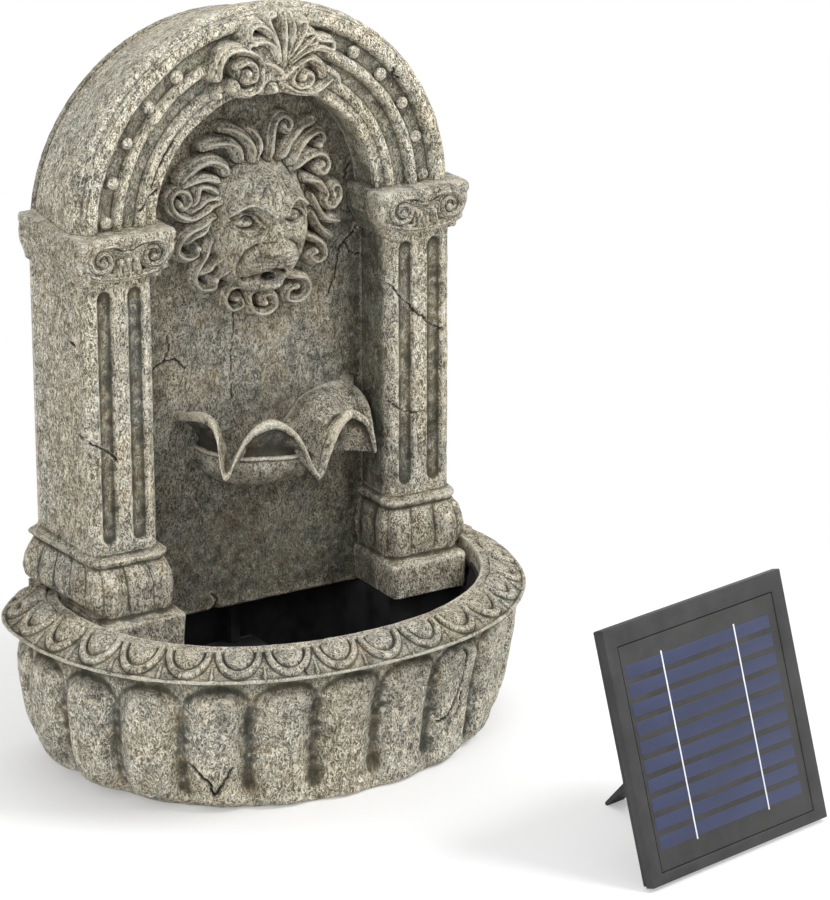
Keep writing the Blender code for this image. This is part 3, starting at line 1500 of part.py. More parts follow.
def make_leg(middle, pivot):
    """A flat bar from a barrel round the pin, with a rounded foot. It is drawn folded down along the back and then
    turned out about its pin."""
    half = LEG_THICKNESS / 2
    foot = (pivot[0], pivot[1] - LEG_LENGTH + half)
    outline = arc(foot, half, math.pi, 2 * math.pi, 6)
    outline += [(pivot[0] + half, pivot[1]), (pivot[0] - half, pivot[1])]
    leg = plate(
        "solar_leg", outline, middle - LEG_WIDTH / 2, middle + LEG_WIDTH / 2, "X", BLACK_PLASTIC
    )
    barrel = rod(
        "barrel",
        (middle - LEG_WIDTH / 2, *pivot),
        (middle + LEG_WIDTH / 2, *pivot),
        LEG_BARREL,
        20,
    )
    combine(leg, barrel, "UNION")
    bore = rod(
        "leg_bore",
        (middle - LEG_WIDTH, *pivot),
        (middle + LEG_WIDTH, *pivot),
        LEG_PIN_RADIUS + SHAFT_CLEARANCE,
        16,
    )
    combine(leg, bore)
    slot = box(
        "leg_slot",
        (middle - 0.0035, pivot[0] - 0.01, pivot[1] - LEG_LENGTH + 0.016),
        (middle + 0.0035, pivot[0] + 0.01, pivot[1] - 0.020),
    )
    combine(leg, slot)
    swing = (
        Matrix.Translation((0.0, *pivot))
        @ Matrix.Rotation(leg_open_angle(), 4, "X")
        @ Matrix.Translation((0.0, -pivot[0], -pivot[1]))
    )
    leg.data.transform(swing)
    return leg


make_basin()
make_column_base()
make_column_shaft()
make_capital()
make_arch()
make_niche()
make_back()
make_lion()
make_crest()
make_bowl()
make_spout()
make_hose()
make_pump()
make_solar()
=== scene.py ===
"""Lion head wall fountain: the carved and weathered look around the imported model, with its solar panel."""

import math

import bmesh
import bpy
import numpy as np
from mathutils import Matrix, Vector


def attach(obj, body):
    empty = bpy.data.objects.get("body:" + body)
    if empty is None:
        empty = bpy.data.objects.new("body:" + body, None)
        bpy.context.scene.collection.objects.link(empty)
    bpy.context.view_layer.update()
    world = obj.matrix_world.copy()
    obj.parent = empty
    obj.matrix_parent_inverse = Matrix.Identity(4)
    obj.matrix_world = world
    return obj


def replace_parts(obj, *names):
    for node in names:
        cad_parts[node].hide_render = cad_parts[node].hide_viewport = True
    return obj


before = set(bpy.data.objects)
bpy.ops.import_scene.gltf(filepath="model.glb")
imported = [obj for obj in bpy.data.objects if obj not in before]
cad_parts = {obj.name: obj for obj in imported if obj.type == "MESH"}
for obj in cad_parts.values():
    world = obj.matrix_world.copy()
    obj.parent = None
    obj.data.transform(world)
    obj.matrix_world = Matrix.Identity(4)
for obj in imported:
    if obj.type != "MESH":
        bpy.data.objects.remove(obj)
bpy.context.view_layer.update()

bl_info = {
    "name": "Lion head fountain", "version": (1, 0, 0), "blender": (4, 5, 0),
    "location": "3D View > Sidebar > Fountain",
    "description": "Builds a cast stone wall fountain with a lion mask, and its solar panel",
    "category": "Add Mesh",
}

MM = 0.001

# Camera
CAMERA_PLACE = (-1.2541, -2.2578, 1.1256)
CAMERA_TURN = -0.54128
CAMERA_TILT = 0.33789
CAMERA_LENS = 160.0

# Basin plan, as in the solid model
HALF_WIDTH = 0.1875
FRONT_Y = -0.1385
PLAN_CENTRE_Y = 0.0337
PLAN_POWER = 2.2
PLAN_REAR_DEPTH = 0.1080
BACK_Y = 0.1000
BASIN_END_Y = 0.0995
RIM_SHIFT = -0.0055
RIM_INSIDE = 0.0365
RIM_FRONT_SHARE = 0.93
RIM_TOP_Z = 0.1223
BAND_FOOT_Z = 0.1115
BAND_WIDTH = 0.0330
LOBES = 14
LOBE_OFFSET = 0.22
EGGS = 20
EGG_OFFSET = 0.77

# Columns and wall
COLUMN_IN = 0.0905
COLUMN_OUT = 0.1418
COLUMN_FRONT_Y = 0.0142
COURSE_BACK_Y = 0.0954
PLINTH_Z = 0.0935
PLINTH_CLEAR_Y = -0.0350
SHAFT_Z = 0.1633
SHAFT_TOP_Z = 0.3538
CAPITAL_Z = 0.3541
SPRINGING_Z = 0.3869
NICHE_Y = 0.0497
ARCH_FRONT_Y = 0.0170
ARCH_RADIUS = 0.1381
ARCH_INNER_RADIUS = 0.0840
ARCH_CENTRE_Z = 0.3828
BARREL_DROP = 0.0139

# Gap between the cast pieces
SEAT = 0.0003

# Solar panel
PANEL_CORNER = (0.0827, -0.3328)
PANEL_YAW = math.radians(11.3)
PANEL_LEAN = math.radians(17.1)
PANEL_WIDTH = 0.1672
PANEL_HEIGHT = 0.1725
PANEL_DEPTH = 0.0110
PANEL_MARGINS = (0.0105, 0.0115, 0.0078, 0.0135)
CELL_MARGINS = (0.0136, 0.0190, 0.0225, 0.0272)
CELL_GAP = 0.0040


def colour_setting(name, description, default):
    return bpy.props.FloatVectorProperty(
        name=name, description=description, subtype="COLOR", size=3, min=0, max=1, default=default
    )


def length_setting(name, description, default, least, most):
    return bpy.props.FloatProperty(
        name=name, description=description, default=default, min=least, max=most, subtype="DISTANCE",
        unit="LENGTH",
    )


class StoneSettings(bpy.types.PropertyGroup):
    shadow: colour_setting("Shadow", "Colour in the crevices", (0.046, 0.043, 0.033))
    body: colour_setting("Body", "Olive-brown colour between the pale veins", (0.140, 0.120, 0.074))
    cool: colour_setting("Cool patches", "Blue-grey colour of large patches", (0.122, 0.132, 0.118))
    warm: colour_setting("Warm stains", "Ochre colour of stains", (0.265, 0.185, 0.080))
    # The dark green of the painted shade in the niche's corners, the arch's channels and under the rim.
    shade_green: colour_setting("Green_shade", "Dark green colour of damp corners", (0.090, 0.098, 0.066))
    pale: colour_setting(
        "Cream veins", "Warm colour of the dry-brushed veins and edges", (0.885, 0.800, 0.630)
    )
    chalk: colour_setting(
        "Chalk veins", "Cool colour of the dry-brushed veins and edges", (0.850, 0.835, 0.730)
    )
    vein: length_setting(
        "Vein spacing", "Distance between the veins of the cast surface", 0.0023, 0.001, 0.01
    )
    relief: length_setting("Vein height", "How far the veins stand out", 0.0005, 0.0, 0.002)


class CarvingSettings(bpy.types.PropertyGroup):
    lumps: length_setting("Unevenness", "Height of the hand-worked lumps", 0.00030, 0.0, 0.002)
    lobe_depth: length_setting(
        "Lobe depth", "Depth of the grooves between the basin's lobes", 0.0074, 0.0, 0.012
    )
    egg_height: length_setting("Egg height", "How far the eggs of the rim stand out", 0.0030, 0.0, 0.006)
    flute_depth: length_setting("Flute depth", "Depth of the two flutes of each column", 0.0036, 0.0, 0.006)


class PanelSettings(bpy.types.PropertyGroup):
    cell: colour_setting("Cell", "Colour of the solar cells", (0.031, 0.039, 0.089))
    housing: colour_setting("Housing", "Colour of the panel's plastic", (0.026, 0.026, 0.026))
    strips: bpy.props.IntProperty(
        name="Strips", description="Number of cell strips", default=10, min=2, max=20
    )


# Numbers in fields


def smooth_step(value):
    value = np.clip(value, 0.0, 1.0)
    return value * value * (3 - 2 * value)


def lattice_noise(places, size, seed):
    """Smooth noise from -1 to 1 with lumps of about that size."""
    cells = 24
    table = np.random.default_rng(seed).uniform(-1, 1, (cells, cells, cells))
    scaled = places / size
    cell = np.floor(scaled).astype(int)
    part = scaled - cell
    part = part * part * (3 - 2 * part)
    total = np.zeros(len(places))
    for corner in range(8):
        step = np.array([(corner >> axis) & 1 for axis in range(3)])
        weight = np.prod(np.where(step == 1, part, 1 - part), axis=1)
        index = (cell + step) % cells
        total += weight * table[index[:, 0], index[:, 1], index[:, 2]]
    return total


def smooth_line(points, count):
    """A smooth curve through points, at equal steps."""
    points = np.asarray(points, float)
    ends = np.vstack([2 * points[0] - points[1], points, 2 * points[-1] - points[-2]])
    found = []
    for i in range(len(points) - 1):
        before, start, end, after = ends[i : i + 4]
        share = np.linspace(0, 1, 24, endpoint=False)[:, None]
        found.append(
            0.5
            * (
                2 * start
                + (end - before) * share
                + (2 * before - 5 * start + 4 * end - after) * share**2
                + (3 * start - before - 3 * end + after) * share**3
            )
        )
    found.append(points[-1:])
    return respaced(np.vstack(found), count)


def respaced(line, count):
    """The same line at equal steps, ends included."""
    length = np.r_[0, np.cumsum(np.linalg.norm(np.diff(line, axis=0), axis=1))]
    want = np.linspace(0, length[-1], count)
    return np.stack([np.interp(want, length, line[:, k]) for k in range(line.shape[1])], axis=1)


def level(line, z):
    """A flat outline as points at one height."""
    return np.column_stack([line, np.full(len(line), z)])


def ringed(field):
    """A field of points with its first column again at its end."""
    return np.concatenate([field, field[:, :1]], axis=1)


def near_line(x, z, line, margin):
    """Which places lie in the box round a line, and how far they are from each of its points."""
    low, high = line.min(axis=0) - margin, line.max(axis=0) + margin
    near = (x > low[0]) & (x < high[0]) & (z > low[1]) & (z < high[1])
    return near, np.hypot(x[near][:, None] - line[None, :, 0], z[near][:, None] - line[None, :, 1])


def dimple(x, z, centre, radii):
    """A soft round spot of height 1, in mm."""
    reach = ((x / MM - centre[0]) / radii[0]) ** 2 + ((z / MM - centre[1]) / radii[1]) ** 2
    return np.exp(-reach)


def softened(values, rounds):
    """A row of values with its corners worn off."""
    values = np.array(values, float)
    for _ in range(rounds):
        values[1:-1] = (values[:-2] + 2 * values[1:-1] + values[2:]) / 4
    return values


# Meshes


def grid_shape(points):
    """A sheet of quads through a field of points, rows by columns."""
    rows, columns = points.shape[:2]
    shape = bmesh.new()
    bmesh.ops.create_grid(shape, x_segments=columns - 1, y_segments=rows - 1, size=0.5)
    for vertex, place in zip(shape.verts, points.reshape(-1, 3).tolist()):
        vertex.co = place
    return shape


def closed(shape):
    """Welds the seams, fills the open ends and turns the faces outwards."""
    bmesh.ops.remove_doubles(shape, verts=shape.verts[:], dist=0.000002)
    rims = [edge for edge in shape.edges if edge.is_boundary]
    if rims:
        bmesh.ops.holes_fill(shape, edges=rims, sides=0)
    bmesh.ops.recalc_face_normals(shape, faces=shape.faces[:])
    return shape


def backed(shape, back_y):
    """Closes a relief: its edge goes straight back to a flat face."""
    rims = [edge for edge in shape.edges if edge.is_boundary]
    grown = bmesh.ops.extrude_edge_only(shape, edges=rims)["geom"]
    for item in grown:
        if isinstance(item, bmesh.types.BMVert):
            item.co.y = back_y
    return closed(shape)


def finished(name, shape, finish, body="fountain"):
    mesh = bpy.data.meshes.new(name)
    shape.to_mesh(mesh)
    shape.free()
    mesh.materials.append(finish)
    mesh.shade_smooth()
    made = bpy.data.objects.new(name, mesh)
    bpy.context.scene.collection.objects.link(made)
    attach(made, body)
    return made


def blurred(values, edges, rounds):
    """Vertex values averaged with their neighbours again and again."""
    count = len(values)
    first, second = edges[:, 0], edges[:, 1]
    links = np.bincount(first, minlength=count) + np.bincount(second, minlength=count)
    links = np.maximum(links, 1)[:, None]
    for _ in range(rounds):
        total = np.stack(
            [
                np.bincount(first, values[second, k], count)
                + np.bincount(second, values[first, k], count)
                for k in range(3)
            ],
            axis=1,
        )
        values = (values + total / links) / 2
    return values


def line_distance(places, line, depth_share=1.0):
    """How far each place is from a line of points. A low share lets a line off the surface mark it."""
    low, high = line.min(axis=0) - 0.010, line.max(axis=0) + 0.010
    near = np.all((places > low) & (places < high), axis=1)
    found = np.full(len(places), 1.0)
    if near.any():
        apart = (places[near][:, None, :] - line[None, :, :]) * (1.0, depth_share, 1.0)
        found[near] = np.sqrt((apart**2).sum(axis=2)).min(axis=1)
    return found


# The arch's two channels, where shade is painted: middle and half width as shares across the ring, soft
# edge, depth behind the arch's face, amount.
ARCH_CHANNELS = ((0.717, 0.110, 0.03, 0.0028, 0.72), (0.380, 0.100, 0.04, 0.0030, 0.62))


def painted_shade(places):
    """Where shade is painted: niche corners, low niche wall, arch channels, under the rim, column sides and
    flutes, round the bowl.
    """
    x, y, z = np.abs(places[:, 0]), places[:, 1], places[:, 2]
    # Painted shade along the niche's corners, fading out from them.
    radius = np.where(z > ARCH_CENTRE_Z, np.hypot(x, z - ARCH_CENTRE_Z), x)
    past = radius - COLUMN_IN
    corner = np.hypot(np.where(past > 0, past * 3, past), y - NICHE_Y)
    share = np.exp(-((corner / 0.019) ** 2)) * (radius < COLUMN_IN + 0.02)
    # Painted shade low on the niche wall.
    low = (y > 0.02) * (radius < COLUMN_IN + 0.004) * (1 - smooth_step((z - 0.120) / 0.100)) * 0.75
    # Painted shadow of the bowl on the niche wall.
    bowl_shade = 0.7 * dimple(places[:, 0], z, (4, 192), (60, 25)) * (y > 0.045)
    # Painted shade under the basin's rim, fading down its sides.
    outside = (places[:, 1] < PLINTH_CLEAR_Y) | (x > COLUMN_OUT + 0.012)
    under_rim = np.exp(-(((z - 0.1010) / 0.0105) ** 2)) * outside * 0.95
    basin_side = outside * (z < 0.1035)
    under_rim = np.maximum(under_rim, 0.34 * basin_side * smooth_step((z - 0.076) / 0.020))
    # Painted shade on the columns' inner sides, and below, in their flutes.
    side_face = smooth_step((y - 0.0145) / 0.012) * smooth_step((places[:, 0] - COLUMN_IN + 0.017) / 0.007)
    side_face = side_face * (x < COLUMN_IN + 0.0040) * smooth_step((z - 0.125) / 0.02) * (z < 0.402) * 0.92
    flutes = (y > COLUMN_FRONT_Y + 0.0011) * (y < COLUMN_FRONT_Y + 0.0060) * (x > COLUMN_IN + 0.005)
    flutes = flutes * (x < COLUMN_OUT - 0.004) * (z > SHAFT_Z + 0.004) * (z < SHAFT_TOP_Z - 0.004) * 0.25
    # Painted shade on the niche wall above the bowl.
    over_bowl = 0.55 * dimple(places[:, 0], z, (22, 234), (50, 20)) * (y > 0.040)
    bowl_shade = np.maximum(bowl_shade, over_bowl)
    share = np.maximum(share, np.maximum(side_face, flutes))
    ring = (z > ARCH_CENTRE_Z) * (y < 0.035)
    share_across = (radius - ARCH_INNER_RADIUS) / (ARCH_RADIUS - ARCH_INNER_RADIUS)
    found = np.maximum(np.maximum(share, low), np.maximum(under_rim, bowl_shade))
    # Painted shade in the arch's two channels.
    for middle, half, edge, depth, amount in ARCH_CHANNELS:
        channel = smooth_step((half - np.abs(share_across - middle)) / edge)
        found = np.maximum(found, ring * channel * (y > ARCH_FRONT_Y + depth) * amount)
    return found


def weathered(made, cracks=(), lumps=1.0, seed=7, rub=0.0, shine=None):
    """Works lumps and cracks into a piece, and records how raised or hollow it is (worn pale where raised,
    painted shade where hollow), where it is cracked and where shade is painted on it.
    """
    mesh = made.data
    count = len(mesh.vertices)
    places = np.empty(count * 3)
    mesh.vertices.foreach_get("co", places)
    places = places.reshape(-1, 3)
    normals = np.empty(count * 3)
    mesh.vertices.foreach_get("normal", normals)
    normals = normals.reshape(-1, 3)
    edges = np.empty(len(mesh.edges) * 2, int)
    mesh.edges.foreach_get("vertices", edges)
    edges = edges.reshape(-1, 2)
    height = bpy.context.scene.fountain_carving.lumps * lumps
    push = height * lattice_noise(places, 0.011, seed) + height * 0.7 * lattice_noise(
        places, 0.0045, seed + 1
    )
    dark = np.zeros(count)
    for number, (points, width, depth) in enumerate(cracks):
        line = respaced(np.asarray(points, float) * MM, 12 * len(points))
        jagged = line + 0.0012 * np.stack(
            [lattice_noise(line, 0.0035, seed + 10 + number + k) for k in range(3)], axis=1
        )
        jagged = respaced(jagged, 40 * len(points))
        near = np.clip(1 - line_distance(places, jagged, 0.15) / (width * MM), 0, 1)
        push -= depth * MM * near
        dark = np.maximum(dark, smooth_step(near * 1.6))
    push[(places[:, 1] > COURSE_BACK_Y - 0.0006) | (places[:, 2] < 0.0004)] = 0.0
    places = places + normals * push[:, None]
    fine = ((places - blurred(places, edges, 5)) * normals).sum(axis=1)
    broad = ((places - blurred(places, edges, 50)) * normals).sum(axis=1)
    # How raised each place is: raised places wear pale, hollow places get painted shade in the material.
    wear_and_shade = 0.5 + rub + 0.24 * np.tanh(fine / 0.00018) + 0.15 * np.tanh(broad / 0.0016)
    if shine:
        wear_and_shade += shine(places)
    mesh.vertices.foreach_set("co", places.ravel())
    # Attributes: wear with painted shade of the hollows, cracks, and painted shade in corners and under
    # overhangs.
    for name, values in (("wear_and_shade", wear_and_shade), ("crack", dark), ("painted_shade", painted_shade(places))):
        attribute = mesh.attributes.new(name, "FLOAT", "POINT")
        attribute.data.foreach_set("value", np.clip(values, 0, 1).astype(np.float32))
    mesh.update()
    return made


# Materials


def node(tree, kind, sockets=None, **settings):
    """A shader node with its settings and with values or links at its inputs."""
    made = tree.nodes.new("ShaderNode" + kind)
    for key, value in settings.items():
        setattr(made, key, value)
    for key, value in (sockets or {}).items():
        if isinstance(value, bpy.types.NodeSocket):
            tree.links.new(value, made.inputs[key])
        else:
            made.inputs[key].default_value = value
    return made


def new_material(name):
    made = bpy.data.materials.new(name)
    made.use_nodes = True
    return made, made.node_tree, made.node_tree.nodes["Principled BSDF"]


def noise(tree, place, scale, detail=3.0, roughness=0.55, distortion=0.0):
    made = node(
        tree, "TexNoise",
        {
            "Vector": place, "Scale": scale, "Detail": detail, "Roughness": roughness,
            "Distortion": distortion,
        },
    )
    return made.outputs["Fac"]


def ramp(tree, value, low, high, out_low=0.0, out_high=1.0):
    made = node(
        tree, "MapRange", {0: value, 1: low, 2: high, 3: out_low, 4: out_high},
        interpolation_type="SMOOTHSTEP", clamp=True,
    )
    return made.outputs[0]


def sums(tree, operation, first, second):
    made = node(tree, "Math", {0: first, 1: second}, operation=operation, use_clamp=False)
    return made.outputs[0]


def times(tree, first, second):
    return sums(tree, "MULTIPLY", first, second)


def swayed(tree, value, other, share):
    """A value that another one moves up and down by a share of its distance from 0.5."""
    return sums(tree, "ADD", value, times(tree, sums(tree, "SUBTRACT", other, 0.5), share))


def blend(tree, share, first, second, blend_type="MIX"):
    made = node(
        tree, "Mix", {0: share, 6: first, 7: second}, data_type="RGBA", blend_type=blend_type,
        clamp_factor=True,
    )
    return made.outputs[2]


def opaque(colour):
    return (*colour, 1.0)


def stone_material(name, shade=1.0, pale=1.0, worn=True):
    """Cast stone: grey, olive and ochre patches, a net of pale veins, pale worn edges, dark hollows that are
    partly painted shade, and painted shade in corners and under overhangs.
    """
    look = bpy.context.scene.fountain_stone
    made, tree, shader = new_material(name)
    place = node(tree, "TexCoord").outputs["Object"]
    stretched = node(
        tree,
        "Mapping",
        {"Vector": place, "Rotation": (0.35, 0.45, 0.2), "Scale": (1.0, 1.0, 0.52)},
        vector_type="POINT",
    ).outputs["Vector"]
    patches = noise(tree, place, 14.0, 3.0, 0.6)
    tint = noise(tree, place, 33.0, 4.0, 0.65)
    mottle = noise(tree, place, 105.0, 3.0, 0.5)
    vein_scale = 1.0 / look.vein
    first = noise(tree, stretched, vein_scale, 2.0, 0.55, 1.2)
    second = noise(tree, stretched, vein_scale * 0.43, 2.0, 0.55, 1.6)
    grain = noise(tree, place, 1100.0, 2.0, 0.6)
    veins = []
    for field, width in ((first, 0.086), (second, 0.044)):
        off_middle = node(tree, "Math", {0: sums(tree, "SUBTRACT", field, 0.5)}, operation="ABSOLUTE")
        veins.append(ramp(tree, off_middle.outputs[0], width, 0.008))
    net = sums(tree, "MAXIMUM", veins[0], times(tree, veins[1], 0.85))
    wear_and_shade = node(tree, "Attribute", attribute_name="wear_and_shade").outputs["Fac"] if worn else 0.5
    crack = node(tree, "Attribute", attribute_name="crack").outputs["Fac"]
    # How much painted shade each place gets.
    painted_shade_share = node(tree, "Attribute", attribute_name="painted_shade").outputs["Fac"]
    base = blend(tree, ramp(tree, patches, 0.42, 0.58), opaque(look.body), opaque(look.cool))
    base = blend(tree, ramp(tree, tint, 0.47, 0.64, 0.0, 0.78), base, opaque(look.warm))
    base = blend(tree, ramp(tree, mottle, 0.52, 0.32, 0.0, 0.55), base, opaque(look.shadow))
    patchy = ramp(tree, mottle, 0.30, 0.56, 0.55, 1.0)
    reach = ramp(tree, wear_and_shade, 0.20, 0.56, 0.25, 1.0)
    pale_share = times(tree, times(tree, net, patchy), reach)
    rubbed = swayed(tree, wear_and_shade, mottle, 0.5)
    rubbed = swayed(tree, rubbed, net, 0.16)
    edge_wear = ramp(tree, rubbed, 0.62, 0.90, 0.0, 0.92)
    edge_wear = times(tree, edge_wear, ramp(tree, net, 0.0, 0.8, 0.68, 1.0))
    # The pale value scales the cream veins: partly painted light and shade, as lit pieces get more and
    # shaded pieces fewer.
    pale_share = sums(tree, "MAXIMUM", times(tree, pale_share, pale), edge_wear)
    speckle = ramp(tree, grain, 0.32, 0.56, 0.55, 1.0)
    pale_share = times(tree, pale_share, speckle)
    cream = blend(tree, ramp(tree, tint, 0.40, 0.62), opaque(look.pale), opaque(look.chalk))
    colour = blend(tree, pale_share, base, cream)
    # Dark hollows: partly the stone's dark ground, partly painted shade, darkening concave places towards
    # the shadow colour.
    hollow = swayed(tree, wear_and_shade, mottle, 0.25)
    hollow_dark_and_shade = ramp(tree, hollow, 0.42, 0.14, 0.0, 0.85)
    colour = blend(tree, hollow_dark_and_shade, colour, opaque(look.shadow))
    # Painted shade: corners, the arch's channels, under the rim and round the bowl are darkened towards a
    # dark green, less on raised places.
    shade_green = blend(tree, ramp(tree, mottle, 0.40, 0.60), opaque(look.shadow), opaque(look.shade_green))
    painted_shade_amount = times(tree, painted_shade_share, ramp(tree, wear_and_shade, 0.46, 0.72, 0.84, 0.30))
    colour = blend(tree, painted_shade_amount, colour, shade_green)
    colour = blend(tree, times(tree, crack, 0.92), colour, opaque((0.012, 0.011, 0.009)))
    # Painted light and shade: the colour is scaled by the piece's shade value, below 1 on pieces in shade
    # and above 1 on lit ones.
    if shade != 1.0:
        colour = blend(tree, 1.0, colour, (shade, shade, shade, 1.0), "MULTIPLY")
    rough = ramp(tree, mottle, 0.3, 0.7, 0.80, 0.94)
    height = sums(tree, "ADD", times(tree, net, 0.9), times(tree, grain, 0.4))
    height = sums(tree, "ADD", height, times(tree, mottle, 1.1))
    painted(tree, shader, colour, rough, 0.2, height, 1.0, look.relief)
    return made


def painted(tree, shader, colour, roughness, specular, height, strength, depth):
    """Links a colour, a roughness and a fine relief to a shader."""
    tree.links.new(colour, shader.inputs["Base Color"])
    tree.links.new(roughness, shader.inputs["Roughness"])
    shader.inputs["Specular IOR Level"].default_value = specular
    bump = node(tree, "Bump", {"Height": height, "Strength": strength, "Distance": depth})
    tree.links.new(bump.outputs["Normal"], shader.inputs["Normal"])


def plastic_material(name, colour, roughness, speck=0.25, grain=2400.0, depth=0.00004):
    """Moulded plastic or rubber with a fine grain, dust and slight stains."""
    made, tree, shader = new_material(name)
    place = node(tree, "TexCoord").outputs["Object"]
    cloud = noise(tree, place, 38.0, 4.0, 0.6)
    fine = noise(tree, place, grain, 2.0, 0.5)
    light = tuple(min(1.0, part * (1 + speck) + 0.012) for part in colour)
    dark = tuple(part * (1 - speck) for part in colour)
    shaded = blend(tree, ramp(tree, cloud, 0.3, 0.7), opaque(dark), opaque(light))
    dusty = tuple(min(1.0, part * 1.25 + 0.02) for part in colour)
    shaded = blend(tree, ramp(tree, fine, 0.55, 0.75, 0.0, 0.6), shaded, opaque(dusty))
    rough = ramp(tree, cloud, 0.25, 0.75, roughness - 0.07, roughness + 0.07)
    painted(tree, shader, shaded, rough, 0.35, fine, 0.6, depth)
    return made


def steel_material(name):
    made, tree, shader = new_material(name)
    place = node(tree, "TexCoord").outputs["Object"]
    brushed = noise(tree, place, 900.0, 3.0, 0.6)
    colour = blend(tree, brushed, opaque((0.42, 0.42, 0.41)), opaque((0.62, 0.61, 0.59)))
    tree.links.new(colour, shader.inputs["Base Color"])
    tree.links.new(ramp(tree, brushed, 0.3, 0.7, 0.25, 0.42), shader.inputs["Roughness"])
    shader.inputs["Metallic"].default_value = 1.0
    return made


# Basin


def plan_line(half_width, front_y, count):
    """The basin's outline at one level, at equal steps from the right rear corner round the front."""
    rear = PLAN_REAR_DEPTH * half_width / HALF_WIDTH
    front = PLAN_CENTRE_Y - front_y
    reach = min((BACK_Y - PLAN_CENTRE_Y) / rear, 0.999)
    start = -math.asin(reach ** (PLAN_POWER / 2))
    angle = np.linspace(start, math.pi - start, 1500)
    across, along = np.cos(angle), np.sin(angle)
    x = half_width * np.sign(across) * np.abs(across) ** (2 / PLAN_POWER)
    depth = np.where(along > 0, front, rear)
    y = PLAN_CENTRE_Y - depth * np.sign(along) * np.abs(along) ** (2 / PLAN_POWER)
    return respaced(np.stack([x, y], axis=1), count)


def outward(points):
    """The unit normals of a field of points, pointing away from the basin's middle."""
    across = np.gradient(points, axis=1)
    up = np.gradient(points, axis=0)
    normal = np.cross(up, across)
    normal /= np.maximum(np.linalg.norm(normal, axis=2, keepdims=True), 1e-12)
    middle = points.reshape(-1, 3).mean(axis=0)
    facing = ((points - middle) * normal).sum(axis=2, keepdims=True)
    return normal * np.where(facing.mean() < 0, -1.0, 1.0)


BASIN_SIDE = (
    (0.0, 48.5, 41.0), (1.2, 42.0, 38.6), (3.5, 37.1, 37.2), (10.6, 23.5, 36.5), (21.3, 15.9, 37.7),
    (35.5, 10.8, 36.5), (53.2, 7.5, 34.0), (71.0, 5.4, 29.9), (85.0, 5.5, 25.0), (93.0, 5.8, 21.5),
    (98.5, 6.2, 19.5), (104.7, 6.4, 17.8), (108.0, 6.4, 15.0),
)


def basin_line(z, side_more, front_more, count):
    """The basin's outline at a height, so far in from its outside."""
    rows = np.array(BASIN_SIDE) * MM
    side_inset = np.interp(z, rows[:, 0], rows[:, 1]) + side_more
    front_inset = np.interp(z, rows[:, 0], rows[:, 2]) + front_more
    return plan_line(HALF_WIDTH - side_inset, FRONT_Y + front_inset, count)


def basin_field(columns, rows):
    """The outside of the basin from its foot up to the rim's underside, with its lobes."""
    profile = smooth_line(np.array(BASIN_SIDE) * MM, rows)
    share = np.linspace(0, 1, columns)
    turn = share * LOBES - LOBE_OFFSET + 0.5
    side = np.abs((turn % 1.0) * 2 - 1)
    field = []
    for z, side_inset, front_inset in profile:
        line = plan_line(HALF_WIDTH - side_inset, FRONT_Y + front_inset, columns)
        head = max(z - 0.0800, 0.0) / 0.0165
        foot = max(0.0100 - z, 0.0) / 0.0140
        edge = np.sqrt(side**2 + head**2 + foot**2)
        crown = 1 - smooth_step((edge - 0.46) / 0.52)
        depth = bpy.context.scene.fountain_carving.lobe_depth * (1 - crown)
        depth = depth + 0.0022 * np.clip(edge, 0, 0.7) ** 2
        depth = depth * (0.35 + 0.65 * smooth_step(z / 0.020))
        depth = depth * (1 - 0.35 * smooth_step((z - 0.1) / 0.008))
        away = np.gradient(line, axis=0)
        away = np.stack([-away[:, 1], away[:, 0]], axis=1)
        away /= np.linalg.norm(away, axis=1, keepdims=True)
        if (away * (line - line.mean(axis=0))).sum() > 0:
            away = -away
        moved = line + away * depth[:, None]
        moved[:, 1] = np.minimum(moved[:, 1], BASIN_END_Y)
        moved[[0, -1], 1] = BASIN_END_Y
        field.append(level(moved, z))
    return np.array(field)


def make_basin_body(finish):
    """The lobed outside as a closed wall."""
    columns = 600
    outside = basin_field(columns, 88)
    inside = []
    for z in np.linspace(0.106, 0.007, 14):
        line = basin_line(z, 0.0135, 0.0120, columns)
        line[[0, -1], 1] = BASIN_END_Y
        inside.append(level(line, z))
    field = np.concatenate([outside, np.array(inside), outside[:1]])
    shape = closed(grid_shape(field))
    cracks = (
        ([(-118, -74, 41), (-111, -76, 31), (-105, -78, 23), (-101, -79, 14)], 1.3, 2.6),
        ([(-101, -79, 14), (-97, -82, 22), (-91, -87, 35)], 1.2, 2.6),
        (
            [(84, -102, 89), (86, -98, 76), (85, -93, 62), (80, -93, 50), (75, -93, 40), (67, -94, 35)],
            1.4, 3.0,
        ),
        ([(85, -91, 54), (86, -90, 46), (82, -90, 37)], 1.1, 2.4),
    )
    made = finished("basin_wall", shape, finish)
    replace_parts(made, "basin")
    return weathered(made, cracks, 1.3, 11)


